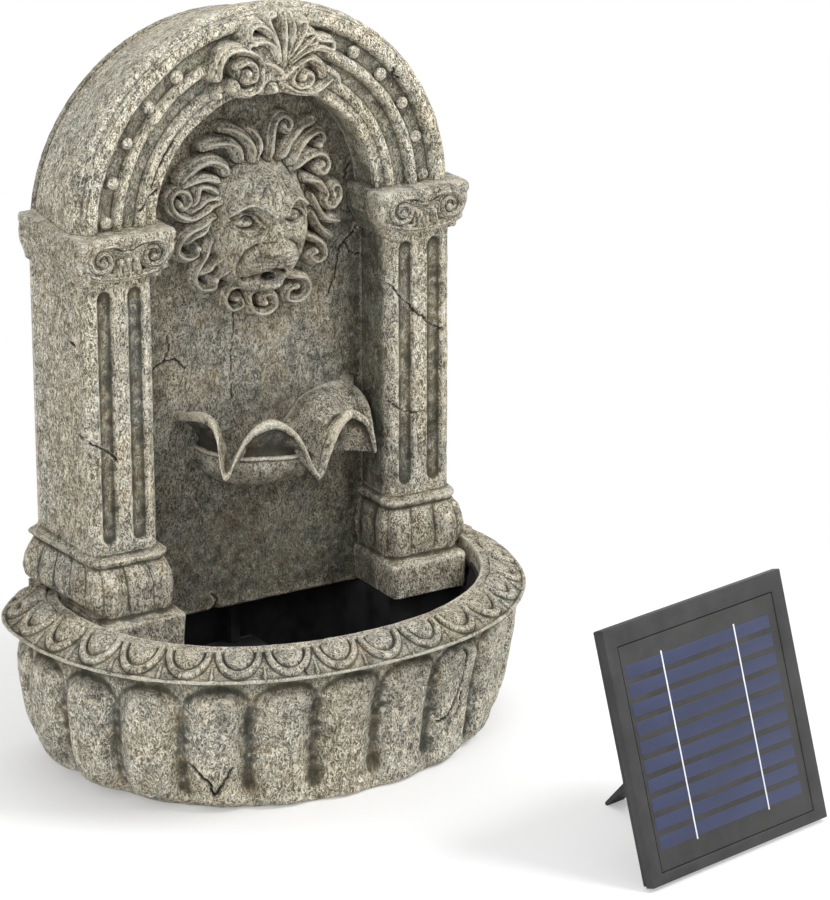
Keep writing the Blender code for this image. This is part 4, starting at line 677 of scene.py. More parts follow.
def make_basin_core(finish):
    """What the lobed wall hides: the floor, the two ledges under the columns, and the back wall."""
    shape = bmesh.new()
    end_y = BACK_Y - 0.0004
    ledge_front_y = 0.0120
    floor = []
    for z in (0.0008, 0.0030, 0.0060, 0.0118):
        line = basin_line(z, 0.0125, 0.0120, 90)
        line[:, 1] = np.minimum(line[:, 1], end_y)
        floor.append(level(line, z))
    add_loft(shape, ringed(np.array(floor)))
    ledge = []
    for z in np.linspace(0.0110, 0.0932, 12):
        line = basin_line(z, 0.0120, 0.0120, 800)
        kept = (line[:, 0] > COLUMN_IN + 0.002) & (line[:, 1] > ledge_front_y)
        kept &= line[:, 1] < BACK_Y - 0.001
        line = respaced(line[kept], 24)
        corners_in = [(line[-1, 0], ledge_front_y), (COLUMN_IN, ledge_front_y), (COLUMN_IN, end_y)]
        ledge.append(level(np.vstack([[(line[0, 0], end_y)], line, corners_in]), z))
    ledge = ringed(np.array(ledge))
    add_loft(shape, ledge)
    add_loft(shape, ledge * (-1, 1, 1))
    slab(shape, (-COLUMN_IN - 0.001, BACK_Y - 0.0060, 0.0110), (COLUMN_IN + 0.001, end_y, 0.0932))
    for side in (-1, 1):
        low, high = sorted((side * 0.0980, side * 0.1500))
        slab(shape, (low, BACK_Y - 0.0042, 0.0900), (high, BACK_Y - 0.0006, 0.1215))
    bmesh.ops.recalc_face_normals(shape, faces=shape.faces[:])
    return finished("basin_core", shape, finish)


def add_loft(shape, field):
    """Adds a closed solid through outlines to a shape."""
    made = closed(grid_shape(field))
    mesh = bpy.data.meshes.new("outlines")
    made.to_mesh(mesh)
    made.free()
    shape.from_mesh(mesh)
    bpy.data.meshes.remove(mesh)


def egg_height(across, up):
    """Height of the rim's carving in mm, from the place across one egg and the place up the slope."""
    rise = 27.0 - up
    upper = up > 27.0
    reach = np.where(upper, np.abs(across) / 16.2, np.hypot(across / 16.2, rise / 24.3))
    edge = (1 - reach) * 16.0
    band = smooth_step(edge / 1.4) * (1 - smooth_step((edge - 3.4) / 1.4)) * 2.4
    egg = smooth_step((edge - 5.4) / 1.6) * (1.0 + 2.3 * (1 - np.exp(-np.maximum(edge - 5.4, 0) / 3.6)))
    top_fade = 1 - smooth_step((up - 28.2) / 1.2)
    height = (band + egg) * top_fade
    aside = 17.0 - np.abs(across)
    dart_width = np.interp(up, [1.5, 4.5, 7.0, 14.0], [0.6, 1.9, 1.2, 0.5])
    dart = smooth_step(1 - aside / dart_width) * 1.7
    dart = dart * (1 - smooth_step((up - 12.5) / 2.0)) * smooth_step((up - 1.0) / 1.0)
    height = np.maximum(height, dart)
    lip = smooth_step((up - 28.6) / 0.9) * 1.6
    foot = (1 - smooth_step((up - 1.3) / 0.8)) * 1.3
    return np.maximum(np.maximum(height, lip), foot)


def make_rim(finish):
    """The rim: a sloping band of eggs and darts with a plain lip, hanging over the basin's wall."""
    columns = 1120
    steps = 55
    band = np.linspace(0, 1, steps)
    section = [(0.0120, 0.0230, 0.1042), (0.0068, 0.0182, 0.1046), (0.0046, 0.0090, 0.1066)]
    section += [(0.0026, 0.0032, 0.1086), (0.0006, 0.0006, 0.1094), (0.0, 0.0, 0.1104)]
    for share in band:
        rise = 0.0104 * (1 - (1 - share) ** 1.6)
        inset = BAND_WIDTH * share
        section.append((inset, inset * RIM_FRONT_SHARE, BAND_FOOT_Z + rise))
    edge = [(0.0022, -0.0002), (0.0006, -0.0007), (0.0, -0.0022)]
    edge += [(0.0, z - RIM_TOP_Z) for z in (0.1170, 0.1140, 0.1090, 0.1042)]
    for back, drop in edge:
        inset = RIM_INSIDE - back
        section.append((inset, inset * RIM_FRONT_SHARE, RIM_TOP_Z + drop))
    field = []
    for side_inset, front_inset, z in section:
        line = plan_line(HALF_WIDTH - side_inset, FRONT_Y + front_inset, columns)
        line[:, 0] += RIM_SHIFT * (1 - side_inset / 0.0385)
        line[[0, -1], 1] = BASIN_END_Y
        field.append(level(line, z))
    field = np.array(field)
    normal = outward(field)
    carved = slice(6, 6 + steps)
    pitch = 34.0
    place = (np.linspace(0, 1, columns) * EGGS - EGG_OFFSET + 0.5) % 1.0 - 0.5
    across = np.tile(place * pitch, (steps, 1))
    up = np.tile((band * 33.0)[:, None], (1, columns))
    carving = egg_height(across, up) * MM * bpy.context.scene.fountain_carving.egg_height / 0.0025
    field[carved] += normal[carved] * (carving - 0.0022)[:, :, None]
    field[:, [0, -1], 1] = BASIN_END_Y
    field[:, :, 1] = np.minimum(field[:, :, 1], BASIN_END_Y)
    shape = closed(grid_shape(np.concatenate([field, field[:1]])))
    cracks = (
        ([(-60, -112, 118), (-58, -120, 115), (-57, -127, 112)], 0.8, 1.0),
        ([(60, -100, 119), (64, -108, 116), (66, -114, 113)], 0.8, 0.8),
    )
    return weathered(finished("basin_rim", shape, finish), cracks, 0.8, 21)


# Columns


def block_line(inner_x, outer_x, rear_x, front_y, corner, count):
    """The outline of a piece of the right column at one level, from its back along the niche and round."""
    line = [(COLUMN_IN, COURSE_BACK_Y), (COLUMN_IN, NICHE_Y - SEAT)]
    if inner_x < COLUMN_IN:
        line.append((inner_x, NICHE_Y - SEAT))
    for x, side, start in ((inner_x, 1, math.pi), (outer_x, -1, 1.5 * math.pi)):
        for i in range(9):
            angle = start + i * math.pi / 16
            along = corner * (1 + side * math.cos(angle))
            line.append((x + side * along, front_y + corner * (1 + math.sin(angle))))
    line.append((rear_x, COURSE_BACK_Y))
    return respaced(np.array(line), count)


def grown_lines(levels, rows, rounds, corner_at, count):
    """Outlines of a column piece from a table of heights and of how far each side stands out, in mm. Each
    comes with its height and with what the table has left over."""
    levels = np.array(levels)
    heights = np.linspace(0, levels[-1, 0], rows)
    parts = [softened(np.interp(heights, levels[:, 0], column), rounds) for column in levels.T[1:]]
    for z, (inner, outer, rear, front, *rest) in zip(heights, np.array(parts).T):
        line = block_line(
            COLUMN_IN - inner * MM, COLUMN_OUT + outer * MM, COLUMN_OUT + rear * MM,
            COLUMN_FRONT_Y - front * MM, corner_at(z), count,
        )
        yield z, line, rest


def lofted(name, field, finish):
    """A closed piece through outlines that are closed by their flat back."""
    return finished(name, closed(grid_shape(ringed(field))), finish)


def twin(made, name):
    """The same piece on the left."""
    shape = bmesh.new()
    shape.from_mesh(made.data)
    bmesh.ops.scale(shape, vec=(-1, 1, 1), verts=shape.verts[:])
    bmesh.ops.reverse_faces(shape, faces=shape.faces[:])
    return finished(name, shape, made.data.materials[0])


BASE_LEVELS = (
    (0.0, 7.5, 0.4, 4.4, 20.3, 0.0), (22.5, 9.0, 0.8, 4.8, 20.8, 0.0), (24.8, 8.0, 0.2, 3.6, 19.6, 0.0),
    (26.0, 5.4, 0.2, 3.6, 12.0, 0.0), (29.5, 6.0, 1.0, 5.0, 12.6, 0.35), (31.1, 6.8, 3.0, 9.6, 13.2, 0.7),
    (35.5, 7.8, 5.8, 15.6, 14.2, 1.0), (42.0, 8.2, 6.4, 17.2, 14.4, 1.0), (49.5, 7.6, 5.6, 15.4, 13.2, 1.0),
    (56.5, 5.6, 3.8, 11.2, 10.6, 1.0), (60.0, 3.6, 1.6, 7.0, 7.4, 0.6), (61.6, 2.6, 0.8, 5.4, 5.0, 0.0),
    (62.8, 4.4, 1.8, 8.2, 6.8, 0.0), (65.0, 5.2, 2.4, 9.4, 7.8, 0.0), (67.2, 4.4, 1.8, 8.2, 6.8, 0.0),
    (68.2, 1.2, 0.4, 2.4, 1.6, 0.0), (70.0, 0.6, 0.1, 1.4, 0.8, 0.0),
)


def make_column_base(finish):
    count, lobes = 270, 13
    field = []
    outlines = grown_lines(BASE_LEVELS, 96, 2, lambda z: 0.011 if z > 24.5 else 0.004, count)
    for z, line, (hollow,) in outlines:
        share = np.linspace(0, 1, count) * lobes
        valley = (1 - np.abs(np.sin(math.pi * share)) ** 0.9) * hollow * 0.0030
        middle = np.array([(COLUMN_IN + COLUMN_OUT) / 2, (COLUMN_FRONT_Y + COURSE_BACK_Y) / 2])
        inward = middle - line
        face = line[:, 1] < COLUMN_FRONT_Y
        inward[face & (np.abs(inward[:, 0]) < 0.014), 0] = 0.0
        inward[line[:, 1] > COLUMN_FRONT_Y, 1] = 0.0
        inward /= np.maximum(np.linalg.norm(inward, axis=1, keepdims=True), 1e-9)
        line = line + inward * valley[:, None]
        line[:, 1] = np.minimum(line[:, 1], COURSE_BACK_Y)
        line[[0, -1], 1] = COURSE_BACK_Y
        field.append(level(line, PLINTH_Z + z * MM))
    made = lofted("column_foot_right", np.array(field), finish)
    left = twin(made, "column_foot_left")
    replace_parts(made, "column_base_right")
    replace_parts(left, "column_base_left")
    weathered(made, (), 1.1, 31)
    weathered(left, (), 1.1, 37)


def flute_depth(x, z):
    """How deep the two flutes are cut at a place of the column's front."""
    middle = (COLUMN_IN + COLUMN_OUT) / 2
    low, high, radius = SHAFT_Z + 0.0055, SHAFT_TOP_Z - 0.0055, 0.0058
    depth = np.zeros_like(x)
    for side in (-1, 1):
        centre = middle + side * 0.01145
        over = np.maximum(z - (high - radius), 0) + np.maximum(low + radius - z, 0)
        reach = np.hypot(x - centre, over) / radius
        hollow = np.sqrt(np.clip(1 - reach**2, 0, 1)) * 0.75 + 0.25 * smooth_step((1 - reach) * 6)
        depth = np.maximum(depth, hollow)
        edge = np.exp(-(((reach - 1.13) / 0.10) ** 2))
        depth = np.where(reach > 1, np.maximum(depth, 0) - 0.14 * edge, depth)
    return depth * bpy.context.scene.fountain_carving.flute_depth


def make_shafts(finish):
    rows, count = 190, 190
    heights = np.linspace(SHAFT_Z, SHAFT_TOP_Z, rows)
    line = block_line(COLUMN_IN, COLUMN_OUT, COLUMN_OUT + 0.0012, COLUMN_FRONT_Y, 0.0085, count)
    field = np.zeros((rows, count, 3))
    field[:, :, :2] = line[None]
    field[:, :, 2] = heights[:, None]
    front = (line[:, 0] > COLUMN_IN + 0.002) & (line[:, 0] < COLUMN_OUT - 0.002)
    front &= line[:, 1] < COLUMN_FRONT_Y + 0.012
    field[:, front, 1] += flute_depth(field[:, front, 0], field[:, front, 2])
    made = lofted("fluted_shaft_right", field, finish)
    left = twin(made, "fluted_shaft_left")
    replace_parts(made, "column_shaft_right")
    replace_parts(left, "column_shaft_left")
    cracks_right = (
        ([(92, 22, 318), (96, 15, 314), (104, 14, 305), (110, 15, 298), (119, 14, 291)], 0.9, 2.2),
        ([(92, 22, 232), (96, 15, 229), (103, 14, 224), (113, 14, 221)], 0.9, 2.0),
        ([(119, 14, 291), (126, 14, 283), (134, 15, 280)], 0.8, 1.6),
    )
    cracks_left = (
        ([(-141, 30, 246), (-139, 17, 243), (-130, 14, 238), (-122, 14, 229)], 0.9, 2.0),
        ([(-141, 60, 330), (-141, 45, 322), (-141, 34, 305)], 0.8, 1.5),
    )
    weathered(made, cracks_right, 1.0, 41)
    weathered(left, cracks_left, 1.0, 43)


CAPITAL_LEVELS = (
    (0.0, 5.0, 3.0, 4.2, 3.0), (2.5, 5.6, 3.4, 4.6, 3.4), (6.0, 7.0, 4.6, 5.6, 4.4),
    (11.0, 10.0, 6.8, 7.6, 6.6), (16.0, 12.2, 8.2, 8.6, 8.4), (21.0, 12.6, 8.6, 8.6, 9.2),
    (24.0, 12.2, 8.2, 8.2, 9.2), (25.4, 12.2, 8.2, 8.2, 9.8), (27.0, 13.0, 8.7, 8.7, 11.0),
    (30.6, 13.0, 8.7, 8.7, 11.4), (32.5, 11.8, 7.6, 7.6, 10.4),
)


def volute_strokes():
    """The two scrolls of a capital and the buds between them, in mm from the middle of its front."""
    strokes = []
    for side in (-1, 1):
        line = [(side * 3.0, 24.6), (side * 9.0, 27.6)]
        for i in range(24):
            share = i / 23
            angle = math.radians(100) - share * math.radians(575)
            reach = 9.8 * (1 - 0.80 * share)
            line.append((side * (19.0 + reach * math.cos(angle)), 18.6 + reach * math.sin(angle)))
        strokes.append((line, 2.1, 2.8, 4.6, 2.2))
        strokes.append(([(side * 27, 9.5), (side * 18, 6.4), (side * 9, 5.4), (0, 5.0)], 1.5, 1.7, 3.4, 0.0))
        strokes.append(([(side * 7.5, 6.5), (side * 7.0, 11.0), (side * 5.6, 15.4)], 1.9, 2.2, 3.4, 2.3))
    strokes.append(([(-10, 24.6), (-4, 22.4), (0, 22.0), (4, 22.4), (10, 24.6)], 1.3, 1.4, 3.2, 0.0))
    strokes.append(([(0, 6.0), (0, 11.0), (0, 17.0)], 1.8, 2.4, 3.4, 2.0))
    return strokes


WIDTH_SHARE = 0.86


def stroke_line(points):
    return smooth_line(np.array(points) * MM, max(len(points) * 14, 30))


def carved_field(x, z, floor, base, strokes):
    """A relief from strokes of (points in mm, ridge radius, ridge height, body radius, end knob). Each is a
    low rounded body with a fine ridge along it."""
    body = floor.copy()
    ridge = np.zeros_like(x)
    for points, radius, height, width, knob in strokes:
        width = width * WIDTH_SHARE
        line = stroke_line(points)
        window, apart = near_line(x, z, line, width * MM)
        distance = apart.min(axis=1) / MM
        share = apart.argmin(axis=1) / (len(line) - 1)
        cushion = np.clip(1 - (distance / width) ** 3, 0, 1) ** 0.6
        low_body = np.where(distance < width, base[window] * cushion, floor[window])
        body[window] = np.maximum(body[window], low_body)
        taper = 0.55 + 0.45 * np.sin(np.clip(share * 1.15, 0, 1) * math.pi) ** 0.5
        raised = np.clip(1 - distance / (0.85 * radius * taper + 0.25), 0, 1) ** 0.8 * 1.25
        strand = np.exp(-(((distance - 0.60 * width - 0.3) / 0.45) ** 2)) * 0.30 * taper
        raised = np.maximum(raised, strand)
        ridge[window] = np.maximum(ridge[window], raised * height * MM * (0.7 + 0.3 * taper))
        if knob:
            end = np.hypot(x - line[-1, 0], z - line[-1, 1]) / MM
            ball = np.sqrt(np.clip(1 - (end / (knob * 1.35)) ** 2, 0, 1)) * (height + 0.9) * MM
            ridge = np.maximum(ridge, ball)
    return body + np.where(body > 0, ridge, 0.0)


def stroke_shine(strokes, amount):
    """A rule for how worn a relief is: most along its strokes' ridges and least between the strokes."""

    def shine(places):
        found = np.full(len(places), -0.10)
        for points, *_ in strokes:
            near, apart = near_line(places[:, 0], places[:, 2], stroke_line(points), 0.004)
            found[near] = np.maximum(found[near], amount * np.exp(-((apart.min(axis=1) / 0.0010) ** 2)))
        return found

    return shine


def relief_piece(name, x_range, z_range, step, height_at, wall_y, back_y, finish):
    """A carved relief on a wall. What lies more than 1 mm behind the wall is left out."""
    columns = int((x_range[1] - x_range[0]) / step) + 1
    rows = int((z_range[1] - z_range[0]) / step) + 1
    x, z = np.meshgrid(np.linspace(*x_range, columns) * MM, np.linspace(*z_range, rows) * MM)
    height = height_at(x, z)
    shape = grid_shape(np.stack([x, wall_y - height, z], axis=2))
    limit = wall_y + 0.0010
    hidden = [face for face in shape.faces if all(v.co.y > limit for v in face.verts)]
    bmesh.ops.delete(shape, geom=hidden, context="FACES")
    return finished(name, backed(shape, back_y), finish)


def make_capitals(finish):
    outlines = grown_lines(CAPITAL_LEVELS, 60, 1, lambda z: 0.0045, 240)
    field = [level(line, CAPITAL_Z + z * MM) for z, line, _ in outlines]
    made = lofted("capital_block_right", np.array(field), finish)
    middle = (COLUMN_IN + COLUMN_OUT) / 2 - 0.0015

    def front_height(x, z):
        floor = np.full_like(x, -0.0022)
        base = np.full_like(x, 0.0012)
        return carved_field(x, z, floor, base, volute_strokes())

    carving = relief_piece(
        "capital_scrolls_right", (-33, 33), (1.0, 31.5), 0.42, front_height, 0.0052, 0.0105, finish
    )
    shape = bmesh.new()
    shape.from_mesh(carving.data)
    bmesh.ops.translate(shape, vec=(middle, 0.0, CAPITAL_Z), verts=shape.verts[:])
    shape.to_mesh(carving.data)
    shape.free()
    left = twin(made, "capital_block_left")
    left_carving = twin(carving, "capital_scrolls_left")
    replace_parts(made, "capital_right")
    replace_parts(left, "capital_left")
    for number, piece in enumerate((made, carving, left, left_carving)):
        weathered(piece, (), 0.8, 51 + number, 0.03)


# Arch and niche

ARCH_FACE = (
    (1.045, 5.6), (1.030, 3.0), (1.012, 2.0), (1.000, 2.3), (0.985, 0.9), (0.950, 0.2), (0.900, 0.0),
    (0.865, 0.6), (0.840, 2.0), (0.825, 4.6), (0.805, 6.2), (0.630, 6.2), (0.612, 4.6), (0.600, 2.2),
    (0.580, 1.0), (0.545, 0.6), (0.515, 1.0), (0.495, 2.2), (0.475, 5.0), (0.455, 6.4), (0.305, 6.4),
    (0.288, 5.0), (0.268, 2.6), (0.240, 1.7), (0.200, 2.0), (0.172, 3.6), (0.150, 4.8), (0.080, 4.8),
    (0.050, 4.2), (0.020, 4.8), (0.000, 7.4),
)


def arch_profile():
    """The arch's section as a closed row of (radius, y)."""
    ring = ARCH_RADIUS - ARCH_INNER_RADIUS
    face = np.array([(ARCH_INNER_RADIUS + share * ring, ARCH_FRONT_Y + y * MM) for share, y in ARCH_FACE])
    face = respaced(face, 110)
    inner = respaced(np.array([face[-1], (0.0840, 0.0494)]), 30)[1:]
    inside = np.array([(0.0900, 0.0494), (0.0900, 0.0275), (0.1320, 0.0275), (0.1335, 0.0954)])
    skin = respaced(
        np.array([(0.1385, 0.0954), (0.1400, 0.0914), (0.1455, 0.0330), (0.1440, 0.0265), face[0]]), 66
    )[:-1]
    return np.concatenate([face, inner, inside, skin])


def make_arch(finish):
    steps = 330
    profile = arch_profile()
    share = np.linspace(0, 1, steps + 1)
    field = np.zeros((steps + 1, len(profile), 3))
    for k, (radius, y) in enumerate(profile):
        centre_z = ARCH_CENTRE_Z
        if radius > ARCH_RADIUS - 0.0061:
            back = (y - ARCH_FRONT_Y) / (COURSE_BACK_Y - ARCH_FRONT_Y)
            centre_z -= BARREL_DROP * max(back, 0.0)
        start = math.asin((SPRINGING_Z - centre_z) / radius)
        angle = start + (math.pi - 2 * start) * share
        field[:, k] = np.stack(
            [radius * np.cos(angle), np.full(steps + 1, y), centre_z + radius * np.sin(angle)], axis=1
        )
    made = lofted("moulded_arch", field, finish)
    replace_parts(made, "arch")
    cracks = (
        ([(-88, 19, 412), (-82, 19, 425), (-74, 20, 436), (-70, 24, 441)], 1.1, 1.6),
        ([(-98, 19, 398), (-90, 19, 405), (-84, 22, 409)], 1.0, 1.4),
        ([(96, 18, 470), (101, 18, 462), (99, 20, 455)], 0.9, 1.2),
    )
    weathered(made, cracks, 1.0, 61)
    beads = bmesh.new()
    radius = 0.1219
    for side in (-1, 1):
        for i in range(5):
            angle = math.radians(4.5 + 13.0 * i)
            x, rise = side * radius * math.cos(angle), radius * math.sin(angle)
            place = Matrix.Translation((x, ARCH_FRONT_Y + 0.0040, ARCH_CENTRE_Z + rise))
            flat = Matrix.Diagonal((1.0, 0.85, 1.0, 1.0))
            bmesh.ops.create_icosphere(beads, subdivisions=4, radius=0.0043, matrix=place @ flat)
    weathered(finished("arch_beads", beads, finish), (), 1.6, 67, 0.05)


def make_niche(finish):
    step = 1.15
    columns, rows = int(180.4 / step), int(382.0 / step)
    x, z = np.meshgrid(np.linspace(-90.2, 90.2, columns) * MM, np.linspace(90.5, 472.5, rows) * MM)
    edge = 0.0012 * (1 - smooth_step((z - 0.0905) / 0.0020))
    nick = 0.0030 * np.exp(-(((x + 0.030) / 0.0035) ** 2 + ((z - 0.0905) / 0.0040) ** 2))
    shape = grid_shape(np.stack([x, NICHE_Y + edge + nick, z], axis=2))
    outside = []
    for face in shape.faces:
        middle = face.calc_center_median()
        rise = middle.z - ARCH_CENTRE_Z
        if rise > 0 and math.hypot(middle.x, rise) > 0.0897:
            outside.append(face)
    bmesh.ops.delete(shape, geom=outside, context="FACES")
    made = finished("niche_wall", backed(shape, NICHE_Y + 0.0060), finish)
    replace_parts(made, "niche_panel")
    cracks = (
        ([(-78, 50, 270), (-74, 50, 276), (-66, 50, 280), (-58, 50, 279), (-50, 50, 272)], 0.9, 1.6),
        ([(-66, 50, 280), (-62, 50, 288), (-64, 50, 297)], 0.7, 1.2),
        ([(-78, 50, 270), (-84, 50, 262), (-88, 50, 255)], 0.8, 1.4),
        ([(-12, 50, 306), (-13, 50, 290), (-15, 50, 272), (-15, 50, 250), (-14, 50, 236)], 0.6, 1.0),
        (
            [(88, 50, 356), (82, 50, 349), (76, 50, 344), (70, 50, 334), (68, 50, 318), (62, 50, 306)], 0.8,
            1.5,
        ),
        ([(76, 50, 344), (80, 50, 336), (88, 50, 332)], 0.7, 1.2),
        ([(80, 50, 400), (76, 50, 394), (78, 50, 384), (84, 50, 378)], 0.7, 1.1),
        ([(-30, 50, 92), (-29, 50, 99), (-34, 50, 103)], 0.9, 1.5),
    )
    weathered(made, cracks, 1.1, 71)


# Lion mask

LION_STROKES = (
    ([(-3.4, 417), (-3.7, 425), (-7.8, 432), (-15.6, 437.4), (-22.4, 439.4)], 1.7, 3.2, 5.5, 0),
    ([(-12.9, 418), (-14.8, 425), (-19.9, 429.2), (-29.7, 430), (-37.5, 428.5)], 1.7, 3.2, 5.5, 0),
    (
        [(-24, 410), (-26.2, 415.7), (-34.1, 419.1), (-42.5, 417.2), (-51.2, 411.2), (-55.5, 407)], 1.8,
        3.4, 5.5, 0,
    ),
    ([(-31.5, 405.6), (-39.6, 407.7), (-47.8, 406.3), (-54.6, 403.5)], 1.5, 2.8, 4.5, 0),
    (
        [
            (-31.3, 391.4), (-41.2, 386.2), (-52.1, 381.6), (-61, 386.3), (-63.7, 394.7), (-60, 400.5),
            (-53.6, 400.1), (-51.4, 393.9), (-55.6, 389.4), (-58.9, 392.0),
        ],
        1.6, 3.2, 5.0, 1.9,
    ),
    ([(-32.3, 397.6), (-38.7, 402.2), (-44.8, 402.1), (-46.7, 394.8), (-50.3, 391)], 1.5, 3.0, 4.5, 0),
    ([(-31.9, 393.5), (-39.4, 394.2), (-46.4, 389.4), (-50.8, 387.1)], 1.3, 2.6, 4.5, 0),
    (
        [
            (-35.9, 381.6), (-44.2, 376.8), (-53.6, 372), (-58.9, 365.3), (-60.1, 358.3), (-54.8, 353.6),
            (-48.2, 355.9), (-48.0, 361.0),
        ],
        1.6, 3.2, 5.0, 1.9,
    ),
    ([(-37.4, 380.3), (-43, 372.5), (-49.7, 368.9), (-54.3, 365)], 1.4, 2.8, 4.5, 0),
    (
        [
            (-37.6, 364.9), (-42.8, 354), (-47.1, 345.7), (-47.9, 336.9), (-42.7, 330.4), (-34.5, 331),
            (-34.6, 336.8),
        ],
        1.6, 3.2, 5.0, 2.0,
    ),
    ([(-29, 355.4), (-37, 346.1), (-43.6, 342.4)], 1.4, 2.8, 4.5, 0),
    ([(-25.3, 345.7), (-29.6, 339.4), (-33.6, 336.9)], 1.4, 2.8, 4.5, 0),
    (
        [
            (-15.8, 330.1), (-24.1, 326.7), (-25.4, 319.2), (-19.3, 312.2), (-12.3, 314.3), (-13.9, 320.7),
            (-17.4, 320.4),
        ],
        1.7, 3.0, 4.6, 1.7,
    ),
    (
        [
            (-4.8, 325.4), (-6.6, 316.5), (-2.1, 307.9), (7.9, 304.5), (15, 309.5), (12, 317.9),
            (5.3, 318.9), (5.2, 313.4),
        ],
        1.7, 3.0, 4.6, 1.9,
    ),
    (
        [
            (25.7, 330.4), (36.7, 326.6), (42.7, 317.0), (36.6, 309.5), (25.2, 311.9), (23.2, 319.6),
            (29.7, 321.9),
        ],
        1.7, 3.2, 4.8, 1.9,
    ),
    (
        [
            (31.1, 360.6), (41.8, 355.6), (51.6, 347.1), (52.4, 339.4), (45.1, 337.3), (39.2, 342.4),
            (42.8, 345.8),
        ],
        1.6, 3.2, 4.8, 1.8,
    ),
    ([(39.6, 374.7), (46.9, 361.7), (57.9, 353.2)], 1.5, 3.0, 4.8, 0),
    (
        [
            (35.6, 397.7), (45.9, 394.4), (52.7, 386.1), (50.6, 379.5), (57.5, 374.6), (65.4, 379.4),
            (65.3, 387.5), (59.2, 388.9), (58.9, 383.0),
        ],
        1.6, 3.2, 4.6, 1.7,
    ),
    (
        [
            (26.2, 406.1), (33.5, 410.2), (44.5, 413), (53.4, 411.3), (56.7, 404.6), (51.9, 399.4),
            (46.7, 402.6), (50.7, 405.8),
        ],
        1.6, 3.2, 4.8, 1.6,
    ),
    (
        [(25, 410.3), (33.2, 419.6), (42.8, 425.2), (52.7, 426.7), (56, 421.6), (50.6, 418.4)], 1.6, 3.2,
        5.0, 1.7,
    ),
    ([(17.5, 415.5), (25.6, 424.8), (37.2, 432.1), (48.2, 434.4)], 1.6, 3.2, 5.0, 0),
    (
        [
            (8.9, 416.7), (11.5, 428.2), (16.1, 437.9), (23.6, 441.8), (29.1, 437.4), (25.6, 432.4),
            (22.0, 436.0),
        ],
        1.7, 3.4, 5.2, 1.6,
    ),
    ([(39.9, 384.5), (50.5, 368.8), (64.9, 362.8)], 1.5, 3.0, 4.8, 0),
    ([(-1.2, 416.8), (1.9, 426.9), (-1.2, 435.1), (-5.1, 438.1)], 1.4, 2.8, 5.0, 0),
)


def bulge(x, z, centre, radii, height, power=1.0):
    """A rounded form of an ellipse's outline that stands so far out of the wall, all in mm."""
    reach = np.hypot((x / MM - centre[0]) / radii[0], (z / MM - centre[1]) / radii[1])
    return height * MM * np.clip(1 - reach**2, 0, 1) ** (0.5 * power)


def ridge_line(x, z, points, radius):
    """A soft ridge of height 1 along a line, in mm."""
    line = smooth_line(np.array(points) * MM, 60)
    apart = np.full(x.shape, 1.0)
    window, distance = near_line(x, z, line, 4 * radius * MM)
    apart[window] = distance.min(axis=1)
    return np.exp(-((apart / (radius * MM)) ** 2))


def soft_max(first, second, width):
    """The higher of two fields with their meeting rounded."""
    share = np.clip(0.5 + (second - first) / (2 * width), 0, 1)
    return first + (second - first) * share + width * share * (1 - share)


def face_form(x, z, side, height, places, size):
    """A soft form of the face, in mm from its middle: a spot where the size is a pair, or else a line."""
    if isinstance(size, tuple):
        return height * dimple(x, z, (FACE_X + side * places[0], places[1]), size)
    return height * ridge_line(x, z, [(FACE_X + side * across, up) for across, up in places], size)


FACE_X = 0.5
LID = ((28.0, 376.8), (23.5, 382.0), (12.5, 381.4), (8.0, 375.8))
BROW = ((5.0, 384.0), (10.0, 389.0), (19.0, 391.5), (30.0, 384.5))
MUZZLE_FORMS = (
    (0.0105, (10.5, 350.0), (10.0, 7.8)), (0.0030, (25.0, 367.0), (8.0, 9.0)), (0.0062, BROW, 3.6),
    (0.0018, BROW, 1.3),
)
SOCKET_FORMS = ((-0.0095, (15.5, 379.5), (9.0, 5.6)), (-0.0030, (8.5, 377.5), (3.0, 5.0)))
FOLD_FORMS = (
    (0.0020, ((27.5, 376.6), (22.0, 373.8), (15.5, 373.2), (9.5, 375.6)), 1.0),
    (-0.0014, ((28.0, 381.5), (23.0, 386.4), (12.0, 386.0)), 0.9),
    (-0.0012, ((25.0, 371.0), (17.5, 368.6), (11.0, 370.5)), 1.2),
    (-0.0021, ((3.6, 391.0), (3.06, 397.0), (4.14, 403.0)), 1.2),
    (-0.0021, ((8.2, 396.0), (6.97, 402.0), (9.43, 408.0)), 1.2),
    (-0.0021, ((13.5, 398.5), (11.475, 404.5), (15.525, 410.5)), 1.2), (-0.0048, (6.0, 356.6), (2.6, 1.8)),
    (-0.0020, ((5.5, 366.0), (11.5, 363.5), (12.6, 357.5)), 1.1),
    (-0.0042, ((13.0, 363.0), (20.0, 357.0), (22.5, 346.5), (19.0, 338.0)), 1.9),
    (-0.0011, ((5.0, 352.0), (11.0, 353.4), (17.5, 351.6)), 0.8),
    (-0.0011, ((5.0, 349.5), (11.0, 350.4), (17.5, 348.2)), 0.8),
    (-0.0011, ((5.0, 347.0), (11.0, 347.4), (17.5, 344.8)), 0.8),
)


